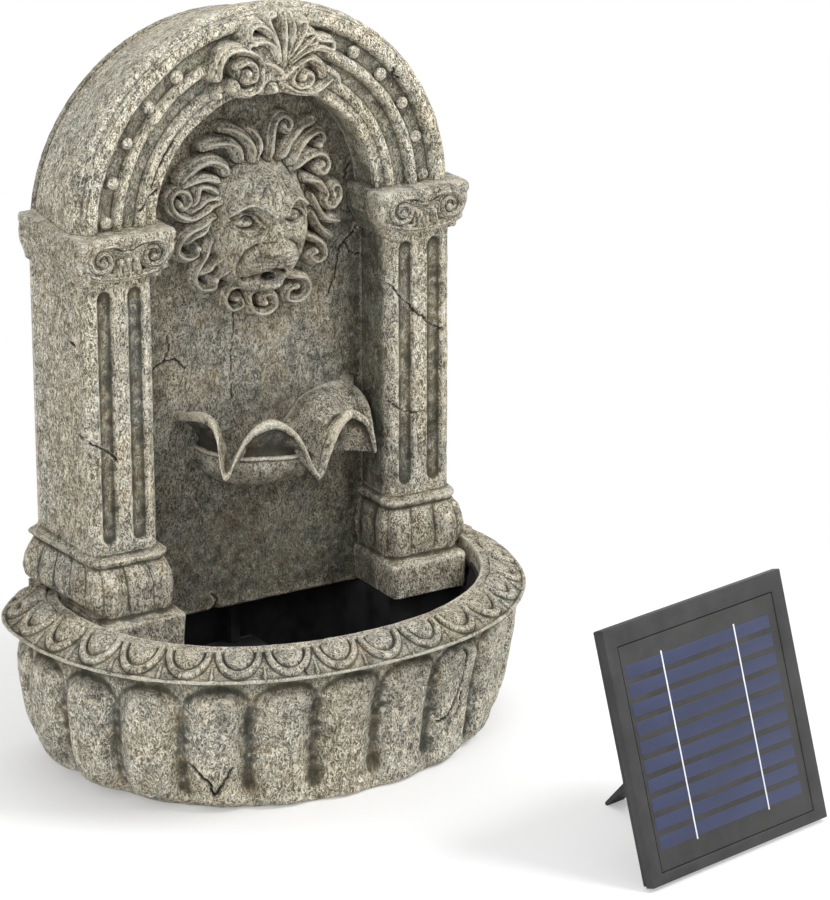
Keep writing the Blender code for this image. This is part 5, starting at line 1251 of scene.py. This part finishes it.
def face_height(x, z):
    """The lion's face, as rounded forms that run into each other."""
    reach = np.hypot((x - FACE_X * MM) / 0.0375, (z - 0.3690) / 0.0470)
    face = 0.0375 * np.clip(1 - reach**2, 0, 1) ** 0.36
    face += 0.0045 * dimple(x, z, (FACE_X, 401.0), (22.0, 10.0))
    face += 0.0085 * ridge_line(x, z, [(FACE_X, 396.0), (FACE_X, 380.0), (FACE_X, 364.0)], 8.4)
    face += 0.0050 * dimple(x, z, (FACE_X, 362.0), (12.0, 8.0))
    face = soft_max(face, bulge(x, z, (FACE_X, 359.5), (13.0, 6.6), 53.0, 0.40), 0.0020)
    for side in (-1, 1):
        for height, places, size in MUZZLE_FORMS:
            face += face_form(x, z, side, height, places, size)
    face += 0.0110 * dimple(x, z, (FACE_X, 331.5), (11.0, 5.2))
    for side in (-1, 1):
        for height, places, size in SOCKET_FORMS:
            face += face_form(x, z, side, height, places, size)
        eye_x = -1.0 + side * 18.2
        face = soft_max(face, bulge(x, z, (eye_x, 378.6), (8.4, 4.6), 36.0, 0.5), 0.0008)
        lid = [(FACE_X + side * across, up) for across, up in LID]
        lid.insert(2, (eye_x, 384.0))
        face += 0.0034 * ridge_line(x, z, lid, 1.2)
        for height, places, size in FOLD_FORMS:
            face += face_form(x, z, side, height, places, size)
    face -= 0.0034 * ridge_line(x, z, [(FACE_X, 356.0), (FACE_X, 344.5)], 1.0)
    mouth = [(-15.5, 336.5), (-9.0, 340.0), (FACE_X, 342.2), (10.0, 340.0), (16.5, 336.5)]
    face -= 0.0100 * ridge_line(x, z, mouth, 1.7)
    face -= 0.0110 * dimple(x, z, (0.0, 337.6), (7.0, 2.8))
    for k in range(5):
        beard = [(-8.0 + 4.0 * k, 333.0), (-8.6 + 4.2 * k, 328.0), (-9.4 + 4.6 * k, 322.0)]
        face += 0.0013 * ridge_line(x, z, beard, 1.0)
    return np.where(reach < 1, face, -0.0100)


def lion_height(x, z):
    """How far the mask stands out of the wall: mane, then the face."""
    reach = np.hypot((x - 0.002) / 0.076, (z - 0.374) / 0.076)
    mane = 0.0055 + 0.0200 * np.clip(1 - reach**2, 0, 1)
    core = np.hypot((x - 0.001) / 0.044, (z - 0.372) / 0.050)
    floor = np.where(core < 1, mane * np.clip(1 - core**6, 0, 1) ** 0.5, -0.0016)
    field = carved_field(x, z, floor, mane, LION_STROKES)
    around = np.hypot((x - 0.0005) / 0.0385, (z - 0.3690) / 0.0480)
    gap = np.exp(-(((around - 1.02) / 0.070) ** 2))
    field = np.where(field > 0, np.maximum(field - 0.0030 * gap, 0.0010), field)
    return soft_max(field, face_height(x, z), 0.0008)


def make_lion(finish):
    made = relief_piece(
        "lion_head", (-71, 72), (297, 450), 0.50, lion_height, NICHE_Y - SEAT, NICHE_Y + 0.0032, finish
    )
    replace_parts(made, "lion_mask")
    on_strokes = stroke_shine(LION_STROKES, 0.40)

    def shine(places):
        around = np.hypot((places[:, 0] - 0.0005) / 0.0385, (places[:, 2] - 0.3690) / 0.0480)
        return np.where(around > 1.0, on_strokes(places), 0.06)

    weathered(made, (), 0.7, 81, 0.0, shine)


# Crest

CREST_STROKES = (
    ([(5.1, 487), (6.6, 506.3), (7.2, 521.0)], 2.4, 3.6, 3.8, 0),
    ([(2.4, 489.4), (-1.2, 506.4), (-4.6, 518.0), (0.5, 520.5)], 1.3, 3.0, 4.0, 0),
    ([(6.8, 489.9), (11.2, 500.9), (14.2, 511.1), (12.0, 518.6)], 1.3, 3.0, 4.0, 0),
    (
        [
            (2.4, 490.4), (0.4, 502.6), (-5.4, 511.5), (-12.3, 515.0), (-17.7, 513.1), (-18.9, 507.6),
            (-16.3, 503.4),
        ],
        1.4, 3.2, 4.5, 1.5,
    ),
    ([(0.8, 492.6), (-1.8, 499.7), (-9.3, 504), (-19, 502.8), (-21.2, 498.3)], 1.4, 3.2, 4.5, 0),
    ([(7.9, 490.7), (16.7, 500.3), (22.4, 508.1), (22.9, 513.2), (17.9, 513.9)], 1.4, 3.2, 4.5, 1.4),
    ([(10, 489.4), (17.7, 495.3), (27.2, 501.6), (28.8, 504.8), (22.8, 505.4)], 1.4, 3.2, 4.5, 1.4),
    ([(12.2, 488.3), (20.9, 493), (34.1, 495.2), (44, 491.9), (44, 496.9), (35.2, 499)], 1.5, 3.2, 4.5, 0),
    (
        [(-9.5, 487.1), (-14.8, 495.5), (-25.5, 500.3), (-35.1, 499.1), (-40.6, 492.1), (-41.8, 482.6)],
        1.8, 3.6, 4.5, 0,
    ),
    ([(-10.6, 486.3), (-11.9, 474.8), (-18.4, 469.8), (-25.9, 470.8), (-29.9, 476.8)], 1.6, 3.2, 4.5, 0),
    (
        [(-27.6, 489.1), (-20.1, 491.6), (-14.9, 486.7), (-16.1, 479.1), (-21.5, 478.3), (-20.9, 484.0)],
        1.3, 2.6, 4.0, 2.2,
    ),
    ([(4.4, 477.6), (16.5, 485.8), (26.3, 488.4), (35, 482.4), (37.2, 475.3)], 1.7, 3.4, 4.5, 0),
    ([(5.4, 473.5), (15.2, 467.4), (28.3, 464.7), (37.1, 467.5), (43.8, 471.5)], 1.6, 3.2, 4.5, 0),
    (
        [
            (14.4, 480.9), (12.1, 475.5), (16.4, 469.6), (25.1, 469.6), (28.3, 474.6), (24.4, 478.6),
            (20.1, 475.6),
        ],
        1.4, 2.8, 4.0, 2.0,
    ),
    ([(-9.5, 490), (-3.1, 487.3), (3.4, 482.6), (5.5, 478.4)], 1.8, 2.8, 4.0, 1.6),
    ([(42.7, 476.6), (48.4, 471.7), (50.0, 465.5)], 1.6, 3.0, 4.0, 1.8),
    ([(-2.2, 471.2), (-2.1, 471.0)], 3.6, 3.8, 4.6, 3.4),
    ([(-42.4, 471.2), (-42.3, 471.0)], 2.6, 3.0, 3.6, 2.6),
    ([(-32.3, 474.2), (-32.2, 474.0)], 2.4, 2.8, 3.4, 2.4),
)


def crest_height(x, z):
    """How far the crest stands out of the arch's face."""
    reach = np.hypot(x / 0.055, (z - 0.490) / 0.042)
    base = 0.0064 + 0.0045 * np.clip(1 - reach**2, 0, 1)
    floor = np.full_like(x, -0.0040)
    middle = np.hypot((x - 0.001) / 0.030, (z - 0.485) / 0.020)
    floor = np.where(middle < 1, base * 0.8 * np.sqrt(np.clip(1 - middle**4, 0, 1)), floor)
    return carved_field(x, z, floor, base, CREST_STROKES)


def make_crest(finish):
    made = relief_piece(
        "carved_crest", (-50, 55), (458, 526), 0.42, crest_height, ARCH_FRONT_Y, ARCH_FRONT_Y + 0.0072,
        finish,
    )
    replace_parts(made, "crest")
    weathered(made, (), 0.6, 91, 0.03, stroke_shine(CREST_STROKES, 0.24))


# Bowl

BOWL_X = 0.000
BOWL_BODY_X = 0.044
BOWL_BODY_Y = 0.0405
BOWL_LIP_Z = 0.2120
BOWL_BOTTOM_Z = 0.1832
BOWL_FLOOR_Z = 0.2010

BOWL_RIM = (
    (-57, 49.4, 241), (-54, 38, 244), (-50.5, 28, 245), (-48.5, 18, 243), (-47.5, 11, 234), (-47.5, 8, 222),
    (-46.4, 6, 210.4), (-44.0, 5, 208.0), (-41.4, 4.5, 210.4), (-38.8, 4, 216.6), (-32.2, 4, 227.3),
    (-22.4, 3, 236.8), (-7.4, 2, 240.2), (7.4, 3, 232.5), (16.9, 4, 221), (23.9, 5, 204.8),
    (28.4, 5.6, 196.6), (31, 6, 194.0), (33.8, 6.6, 196.2), (35.5, 7, 198.4), (42, 8, 213.5),
    (49.5, 9, 226.5), (61.3, 12, 233.5), (72.2, 12, 227), (77.6, 12, 214), (80, 13, 203), (82, 20, 214),
    (83.6, 30, 230.7), (81.4, 40, 239.4), (74.9, 49.4, 243.7),
)


def make_bowl(finish):
    """A round body under a ruffled lip. Each section runs from the middle of the bottom up the body to its
    own small lip, in below the ruffle, over the ruffle's rounded edge and down inside to the floor. On the
    right the ruffle rises to the wall as a closed hood."""
    turns = 320
    rim = smooth_line(np.array(BOWL_RIM) * MM, turns)
    wall = NICHE_Y - SEAT
    rim[:, 1] = np.minimum(rim[:, 1], wall)
    middle = np.array([BOWL_X, wall])
    field = []
    for number, (x, y, z) in enumerate(rim):
        edge = np.array([x, y])
        toward = (edge - middle) / np.linalg.norm(edge - middle)
        high = smooth_step(np.array((z - 0.200) / 0.014))
        hood = smooth_step(np.array((x - 0.034) / 0.014))
        body = middle + toward * np.array([BOWL_BODY_X, BOWL_BODY_Y])
        tilt = 0.12 * max(x + 0.012, 0.0) - 0.15 * max(-0.035 - x, 0.0)
        lip_z = min(BOWL_LIP_Z - tilt, z + 0.0030)
        section = []
        for angle in np.linspace(0, math.pi / 2, 20):
            point = middle + (body - middle) * math.sin(angle) ** 0.72
            rise = (lip_z - 0.002 - BOWL_BOTTOM_Z) * (1 - math.cos(angle))
            section.append((*point, BOWL_BOTTOM_Z + rise))
        for out, up in ((0.0007, 0.0002), (0.0012, 0.0012), (0.0007, 0.0023), (-0.0012, 0.0029)):
            section.append((*(body + toward * out * high), lip_z - 0.002 + up * (0.4 + 0.6 * high)))
        under = edge - toward * (0.0022 + 0.0010 * high)
        inner_foot = body - toward * 0.0034 * high
        for share in np.linspace(0.12, 1.0, 9):
            point = inner_foot + (under - inner_foot) * share ** (1 + 0.7 * high)
            section.append((*point, lip_z + 0.0014 + (z - 0.0042 - lip_z - 0.0014) * share))
        for angle in np.linspace(-1.15, 3.3, 14):
            roll = 0.0027 + 0.0009 * high
            out = roll * (math.cos(angle) - 1)
            section.append((*(edge + toward * out), z + roll * (math.sin(angle) - 1)))
        for share in (0.35, 0.7, 1.0):
            flat = edge - toward * (2 * roll + 0.0028 * high * share)
            section.append((*flat, z - roll * 1.2 + 0.0008 * high * math.sin(math.pi * share)))
        inside = edge - toward * (2 * roll + 0.0034 * high)
        start_z = z - roll * 1.4
        back = np.array([0.034 + 0.052 * smooth_step(np.array((number / turns - 0.60) / 0.38)), wall])
        back_z = np.interp(
            number / turns, [0.55, 0.66, 0.80, 0.90, 1.0], [0.214, 0.236, 0.2440, 0.2420, 0.2437]
        )
        for share in np.linspace(0.03, 1.0, 22):
            low = inside + (middle - inside) * share
            low_z = start_z + (BOWL_FLOOR_Z - start_z) * (1 - (1 - share) ** 3.4)
            over = inside + (back - inside) * share
            over_z = start_z + (back_z - start_z) * share + 0.0060 * math.sin(math.pi * share)
            section.append((*(low + (over - low) * hood), low_z + (over_z - low_z) * hood))
        section.append((*middle, BOWL_BOTTOM_Z))
        field.append(section)
    field = np.array(field)
    field[:, :, 1] = np.minimum(field[:, :, 1], wall)
    shape = closed(grid_shape(field))
    if shape.calc_volume(signed=True) < 0:
        bmesh.ops.reverse_faces(shape, faces=shape.faces[:])
    made = finished("shell_bowl", shape, finish)
    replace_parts(made, "scallop_bowl")
    lip = field[(field[:, 22, 2] > 0.2035) & (np.abs(field[:, 22, 0]) < 0.045), 22]

    # Painted highlight: the rolled rim and the lip are made paler along their lines than their shape gives.
    def shine(places):
        along_rim = np.exp(-((line_distance(places, respaced(rim, 400)) / 0.0030) ** 2))
        along_lip = np.exp(-((line_distance(places, lip) / 0.0013) ** 2))
        return 0.20 * np.maximum(along_rim, along_lip)

    weathered(made, (), 0.9, 95, -0.02, shine)


# Solar panel


def panel_place():
    """The solar panel's own frame: x along its width, z up its slanted front, y into its depth."""
    lift = PANEL_DEPTH * math.sin(PANEL_LEAN)
    place = Matrix.Translation((PANEL_CORNER[0], PANEL_CORNER[1], lift))
    return place @ Matrix.Rotation(PANEL_YAW, 4, "Z") @ Matrix.Rotation(-PANEL_LEAN, 4, "X")


def slab(shape, low, high, bevel=0.0):
    """A box between two corners, with its edges rounded."""
    low, high = Vector(low), Vector(high)
    made = bmesh.ops.create_cube(shape, size=1.0)["verts"]
    bmesh.ops.scale(shape, vec=high - low, verts=made)
    bmesh.ops.translate(shape, vec=(low + high) / 2, verts=made)
    if bevel:
        edges = list({edge for vertex in made for edge in vertex.link_edges})
        bmesh.ops.bevel(
            shape, geom=edges, offset=bevel, segments=2, affect="EDGES", profile=0.5, material=-1
        )


def cell_material():
    """Satin film over the cells: fine lines along each strip and a soft sheen."""
    look = bpy.context.scene.fountain_panel
    made, tree, shader = new_material("solar_cell")
    place = node(tree, "TexCoord").outputs["Object"]
    turned = node(
        tree,
        "Mapping",
        {
            "Vector": place,
            "Location": (PANEL_CORNER[0], PANEL_CORNER[1], 0.0),
            "Rotation": (-PANEL_LEAN, 0.0, PANEL_YAW),
        },
        vector_type="TEXTURE",
    ).outputs["Vector"]
    parts = node(tree, "SeparateXYZ", {0: turned})
    wave = node(tree, "Math", {0: times(tree, parts.outputs["Z"], 5200.0)}, operation="SINE")
    lines = ramp(tree, wave.outputs[0], 0.80, 1.0)
    cloud = noise(tree, turned, 16.0, 3.0)
    deep = tuple(part * 0.72 for part in look.cell)
    colour = blend(tree, ramp(tree, cloud, 0.3, 0.7), opaque(deep), opaque(look.cell))
    light = tuple(part * 1.9 + 0.05 for part in look.cell)
    colour = blend(tree, times(tree, lines, 0.55), colour, opaque(light))
    fine = noise(tree, turned, 1500.0, 2.0)
    rough = ramp(tree, cloud, 0.3, 0.7, 0.42, 0.52)
    painted(tree, shader, colour, rough, 0.35, fine, 0.4, 0.00004)
    return made


def make_frame(finish):
    """The front frame: a flat rim round a shallow recess."""
    shape = bmesh.new()
    slab(shape, (0.0004, 0.0004, 0.0004), (PANEL_WIDTH - 0.0004, 0.0072, PANEL_HEIGHT - 0.0004))
    front = min(shape.faces, key=lambda face: face.calc_center_median().y)
    bmesh.ops.inset_region(shape, faces=[front], thickness=0.005, use_even_offset=True)
    left, right, low, high = PANEL_MARGINS
    for vertex in front.verts:
        vertex.co.x = left if vertex.co.x < PANEL_WIDTH / 2 else PANEL_WIDTH - right
        vertex.co.z = low if vertex.co.z < PANEL_HEIGHT / 2 else PANEL_HEIGHT - high
    sunk = bmesh.ops.extrude_discrete_faces(shape, faces=[front])["faces"][0]
    bmesh.ops.translate(shape, vec=(0.0, 0.0024, 0.0), verts=sunk.verts[:])
    edges = [edge for edge in shape.edges if edge.calc_face_angle(0.0) > 1.0]
    bmesh.ops.bevel(shape, geom=edges, offset=0.0005, segments=2, affect="EDGES", profile=0.5, material=-1)
    return placed("panel_frame", shape, finish)


def placed(name, shape, finish):
    """A piece of the solar panel, moved from the panel's own frame to where it stands."""
    bmesh.ops.transform(shape, matrix=panel_place(), verts=shape.verts[:])
    bmesh.ops.recalc_face_normals(shape, faces=shape.faces[:])
    made = finished(name, shape, finish, "solar_panel")
    made.data.set_sharp_from_angle(angle=math.radians(40))
    return made


def make_laminate(sheet_finish, cell_finish, busbar_finish):
    """The recessed sheet, its cell strips and the two pale busbars down them."""
    left, right, low, high = PANEL_MARGINS
    seam = 0.0006
    top = 0.0008
    sheet = bmesh.new()
    slab(
        sheet, (left + seam, top, low + seam),
        (PANEL_WIDTH - right - seam, top + 0.0014, PANEL_HEIGHT - high - seam), 0.0001,
    )
    cell_left, cell_right, cell_low, cell_high = CELL_MARGINS
    count = bpy.context.scene.fountain_panel.strips
    pitch = (PANEL_HEIGHT - cell_low - cell_high + CELL_GAP) / count
    strips = bmesh.new()
    for i in range(count):
        z = cell_low + pitch * i
        slab(
            strips, (cell_left, top - 0.00012, z),
            (PANEL_WIDTH - cell_right, top + 0.0006, z + pitch - CELL_GAP), 0.00008,
        )
    bars = bmesh.new()
    for x in (0.0472, 0.1154):
        slab(
            bars, (x - 0.00055, top - 0.00028, cell_low - 0.0022),
            (x + 0.00055, top + 0.0006, PANEL_HEIGHT - cell_high + 0.0018), 0.0001,
        )
    sheet = placed("panel_sheet", sheet, sheet_finish)
    strips = placed("cell_strips", strips, cell_finish)
    placed("busbars", bars, busbar_finish)
    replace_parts(sheet, "solar_glass")
    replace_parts(strips, "solar_cells")


class FOUNTAIN_OT_basin(bpy.types.Operator):
    """Build the lobed basin and its rim of eggs and darts"""

    bl_idname = "fountain.basin"
    bl_label = "Basin"

    def execute(self, context):
        # The basin's shade and pale values above 1 are painted light.
        stone = stone_material("basin_stone", 1.03, 1.08)
        make_basin_body(stone)
        make_rim(stone_material("rim_stone", 1.0, 1.0))
        make_basin_core(stone_material("inner_stone", 0.9, 0.9, False))
        return {"FINISHED"}


class FOUNTAIN_OT_columns(bpy.types.Operator):
    """Build the two columns: feet, fluted shafts and capitals"""

    bl_idname = "fountain.columns"
    bl_label = "Columns"

    def execute(self, context):
        # Shade and pale values: painted light on the shafts, painted shade on the feet and capitals.
        make_column_base(stone_material("foot_stone", 0.96))
        make_shafts(stone_material("shaft_stone", 1.04, 1.05))
        make_capitals(stone_material("capital_stone", 0.94))
        return {"FINISHED"}


class FOUNTAIN_OT_arch(bpy.types.Operator):
    """Build the moulded arch, its beads and the carved crest"""

    bl_idname = "fountain.arch"
    bl_label = "Arch"

    def execute(self, context):
        # The arch's shade and pale values above 1 are painted light.
        stone = stone_material("arch_stone", 1.08, 1.15)
        make_arch(stone)
        make_crest(stone)
        return {"FINISHED"}


class FOUNTAIN_OT_niche(bpy.types.Operator):
    """Build the niche wall with its lion head and shell bowl"""

    bl_idname = "fountain.niche"
    bl_label = "Niche"

    def execute(self, context):
        # Shade and pale values below 1: painted shade on the niche wall, lion and bowl, most on the niche
        # wall.
        make_niche(stone_material("niche_stone", 0.80, 0.8))
        make_lion(stone_material("lion_stone", 0.94, 0.9))
        make_bowl(stone_material("bowl_stone", 0.90, 0.85))
        return {"FINISHED"}


class FOUNTAIN_OT_works(bpy.types.Operator):
    """Finish the water works, the liner and the back"""

    bl_idname = "fountain.works"
    bl_label = "Water works and back"

    def execute(self, context):
        finishes = {
            "back_stone": stone_material("back_stone", 0.9, 0.9, False),
            "liner_plastic": plastic_material("liner_plastic", (0.016, 0.016, 0.018), 0.5, 0.5),
            "cover_plastic": plastic_material("cover_plastic", (0.03, 0.03, 0.031), 0.5),
            "pump_housing": plastic_material("pump_housing", (0.022, 0.022, 0.024), 0.38),
            "rubber": plastic_material("rubber", (0.045, 0.045, 0.047), 0.72),
            "hose": plastic_material("hose", (0.018, 0.018, 0.018), 0.34),
            "rotor_ceramic": plastic_material("rotor_ceramic", (0.62, 0.60, 0.55), 0.34, 0.06),
        }
        for names, key in (
            (("back_panel",), "back_stone"), (("basin_liner",), "liner_plastic"),
            (("rear_cover", "spout_pipe", "flow_dial", "pump_cover"), "cover_plastic"),
            (("pump_body", "impeller"), "pump_housing"),
            (("suction_cup_1", "suction_cup_2", "suction_cup_3", "suction_cup_4"), "rubber"),
            (("cable_grommet", "solar_gland"), "rubber"), (("riser_hose",), "hose"),
            (("impeller_shaft",), "rotor_ceramic"),
        ):
            for name in names:
                finish_node(name, finishes[key])
        return {"FINISHED"}


class FOUNTAIN_OT_panel(bpy.types.Operator):
    """Build the solar panel's cells and finish its housing and leg"""

    bl_idname = "fountain.panel"
    bl_label = "Solar panel"

    def execute(self, context):
        colour = tuple(context.scene.fountain_panel.housing)
        housing = plastic_material("panel_housing", colour, 0.52, 0.12, 2600.0)
        tray = plastic_material("panel_tray", tuple(part * 0.8 for part in colour), 0.5, 0.12)
        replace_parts(make_frame(housing), "solar_frame")
        for name in ("solar_back", "solar_leg"):
            finish_node(name, tray)
        steel = steel_material("screw_steel")
        for name in ("leg_pin", "back_screw_1", "back_screw_2", "back_screw_3", "back_screw_4"):
            finish_node(name, steel)
        sheet = plastic_material("panel_sheet", (0.024, 0.024, 0.023), 0.5, 0.1, 1800.0, 0.00002)
        busbar = plastic_material("busbar_silver", (0.74, 0.75, 0.78), 0.4, 0.05)
        make_laminate(sheet, cell_material(), busbar)
        return {"FINISHED"}


def finish_node(name, finish):
    """Gives a node of the solid model its material."""
    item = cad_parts[name]
    item.data.materials.clear()
    item.data.materials.append(finish)


class FOUNTAIN_OT_stage(bpy.types.Operator):
    """Set the floor, lights, background and camera"""

    bl_idname = "fountain.stage"
    bl_label = "Stage"

    def execute(self, context):
        make_floor()
        make_lights()
        make_background()
        make_camera()
        return {"FINISHED"}


def make_floor():
    shape = bmesh.new()
    bmesh.ops.create_grid(shape, x_segments=1, y_segments=1, size=6.0)
    mesh = bpy.data.meshes.new("floor")
    shape.to_mesh(mesh)
    shape.free()
    floor = bpy.data.objects.new("floor", mesh)
    bpy.context.scene.collection.objects.link(floor)
    made, tree, shader = new_material("pale_floor")
    shader.inputs["Base Color"].default_value = (0.94, 0.94, 0.94, 1.0)
    shader.inputs["Roughness"].default_value = 0.9
    shader.inputs["Specular IOR Level"].default_value = 0.1
    place = node(tree, "TexCoord").outputs["Object"]
    reach = node(tree, "VectorMath", {0: place}, operation="LENGTH").outputs["Value"]
    camera_ray = node(tree, "LightPath").outputs["Is Camera Ray"]
    far = ramp(tree, reach, 0.25, 0.60, 0.30, 1.0)
    share = times(tree, far, camera_ray)
    white = node(tree, "Emission", {"Color": (1.0, 1.0, 1.0, 1.0), "Strength": 1.0})
    mixed = node(tree, "MixShader", {0: share, 1: shader.outputs["BSDF"], 2: white.outputs["Emission"]})
    tree.links.new(mixed.outputs[0], tree.nodes["Material Output"].inputs["Surface"])
    mesh.materials.append(made)


def add_light(name, place, target, size, energy):
    lamp = bpy.data.lights.new(name, "AREA")
    lamp.shape = "DISK"
    lamp.size = size
    lamp.energy = energy
    made = bpy.data.objects.new(name, lamp)
    bpy.context.scene.collection.objects.link(made)
    made.location = place
    made.rotation_euler = (Vector(target) - Vector(place)).to_track_quat("-Z", "Y").to_euler()


def make_lights():
    add_light("key_light", (1.25, -1.35, 2.1), (0.0, 0.0, 0.25), 1.0, 46.0)
    add_light("fill_light", (-2.0, -1.6, 1.4), (0.0, 0.0, 0.25), 1.8, 22.0)
    add_light("top_light", (0.0, 0.1, 2.4), (0.0, 0.0, 0.2), 1.6, 16.0)


def make_background():
    world = bpy.data.worlds.new("studio")
    bpy.context.scene.world = world
    world.use_nodes = True
    tree = world.node_tree
    tree.nodes.clear()
    path = node(tree, "LightPath")
    seen = sums(tree, "MAXIMUM", path.outputs["Is Camera Ray"], path.outputs["Is Glossy Ray"])
    seen = sums(tree, "MAXIMUM", seen, path.outputs["Is Transmission Ray"])
    strength = ramp(tree, seen, 0.0, 1.0, 0.55, 1.0)
    light = node(tree, "Background", {"Color": (1.0, 1.0, 1.0, 1.0), "Strength": strength})
    output = node(tree, "OutputWorld")
    tree.links.new(light.outputs["Background"], output.inputs["Surface"])


def make_camera():
    across = Vector((math.cos(CAMERA_TURN), math.sin(CAMERA_TURN), 0.0))
    ahead = Vector(
        (
            -math.sin(CAMERA_TURN) * math.cos(CAMERA_TILT),
            math.cos(CAMERA_TURN) * math.cos(CAMERA_TILT),
            -math.sin(CAMERA_TILT),
        )
    )
    up = across.cross(ahead)
    turn = Matrix((across, up, -ahead)).transposed().to_4x4()
    lens = bpy.data.cameras.new("camera")
    lens.lens = CAMERA_LENS
    lens.sensor_width = 36.0
    lens.clip_end = 50.0
    made = bpy.data.objects.new("camera", lens)
    bpy.context.scene.collection.objects.link(made)
    made.matrix_world = Matrix.Translation(CAMERA_PLACE) @ turn
    bpy.context.scene.camera = made
    bpy.context.scene.view_settings.view_transform = "Standard"


class FOUNTAIN_PT_panel(bpy.types.Panel):
    """Lists the steps and the settings of the fountain"""

    bl_idname = "FOUNTAIN_PT_panel"
    bl_label = "Lion head fountain"
    bl_space_type = "VIEW_3D"
    bl_region_type = "UI"
    bl_category = "Fountain"

    def draw(self, context):
        layout = self.layout
        for operator in OPERATORS:
            layout.operator(operator.bl_idname)
        for owner, names in (
            (
                context.scene.fountain_stone,
                ("shadow", "body", "cool", "warm", "shade_green", "pale", "chalk", "vein", "relief"),
            ),
            (context.scene.fountain_carving, ("lumps", "lobe_depth", "egg_height", "flute_depth")),
            (context.scene.fountain_panel, ("cell", "housing", "strips")),
        ):
            for name in names:
                layout.prop(owner, name)


OPERATORS = (
    FOUNTAIN_OT_basin, FOUNTAIN_OT_columns, FOUNTAIN_OT_arch, FOUNTAIN_OT_niche, FOUNTAIN_OT_works,
    FOUNTAIN_OT_panel, FOUNTAIN_OT_stage,
)
CLASSES = (StoneSettings, CarvingSettings, PanelSettings, *OPERATORS, FOUNTAIN_PT_panel)


def register():
    for item in CLASSES:
        bpy.utils.register_class(item)
    bpy.types.Scene.fountain_stone = bpy.props.PointerProperty(type=StoneSettings)
    bpy.types.Scene.fountain_carving = bpy.props.PointerProperty(type=CarvingSettings)
    bpy.types.Scene.fountain_panel = bpy.props.PointerProperty(type=PanelSettings)


def unregister():
    del bpy.types.Scene.fountain_panel
    del bpy.types.Scene.fountain_carving
    del bpy.types.Scene.fountain_stone
    for item in reversed(CLASSES):
        bpy.utils.unregister_class(item)


def main():
    register()
    bpy.ops.fountain.basin()
    bpy.ops.fountain.columns()
    bpy.ops.fountain.arch()
    bpy.ops.fountain.niche()
    bpy.ops.fountain.works()
    bpy.ops.fountain.panel()
    bpy.ops.fountain.stage()


if __name__ == "__main__":
    main()
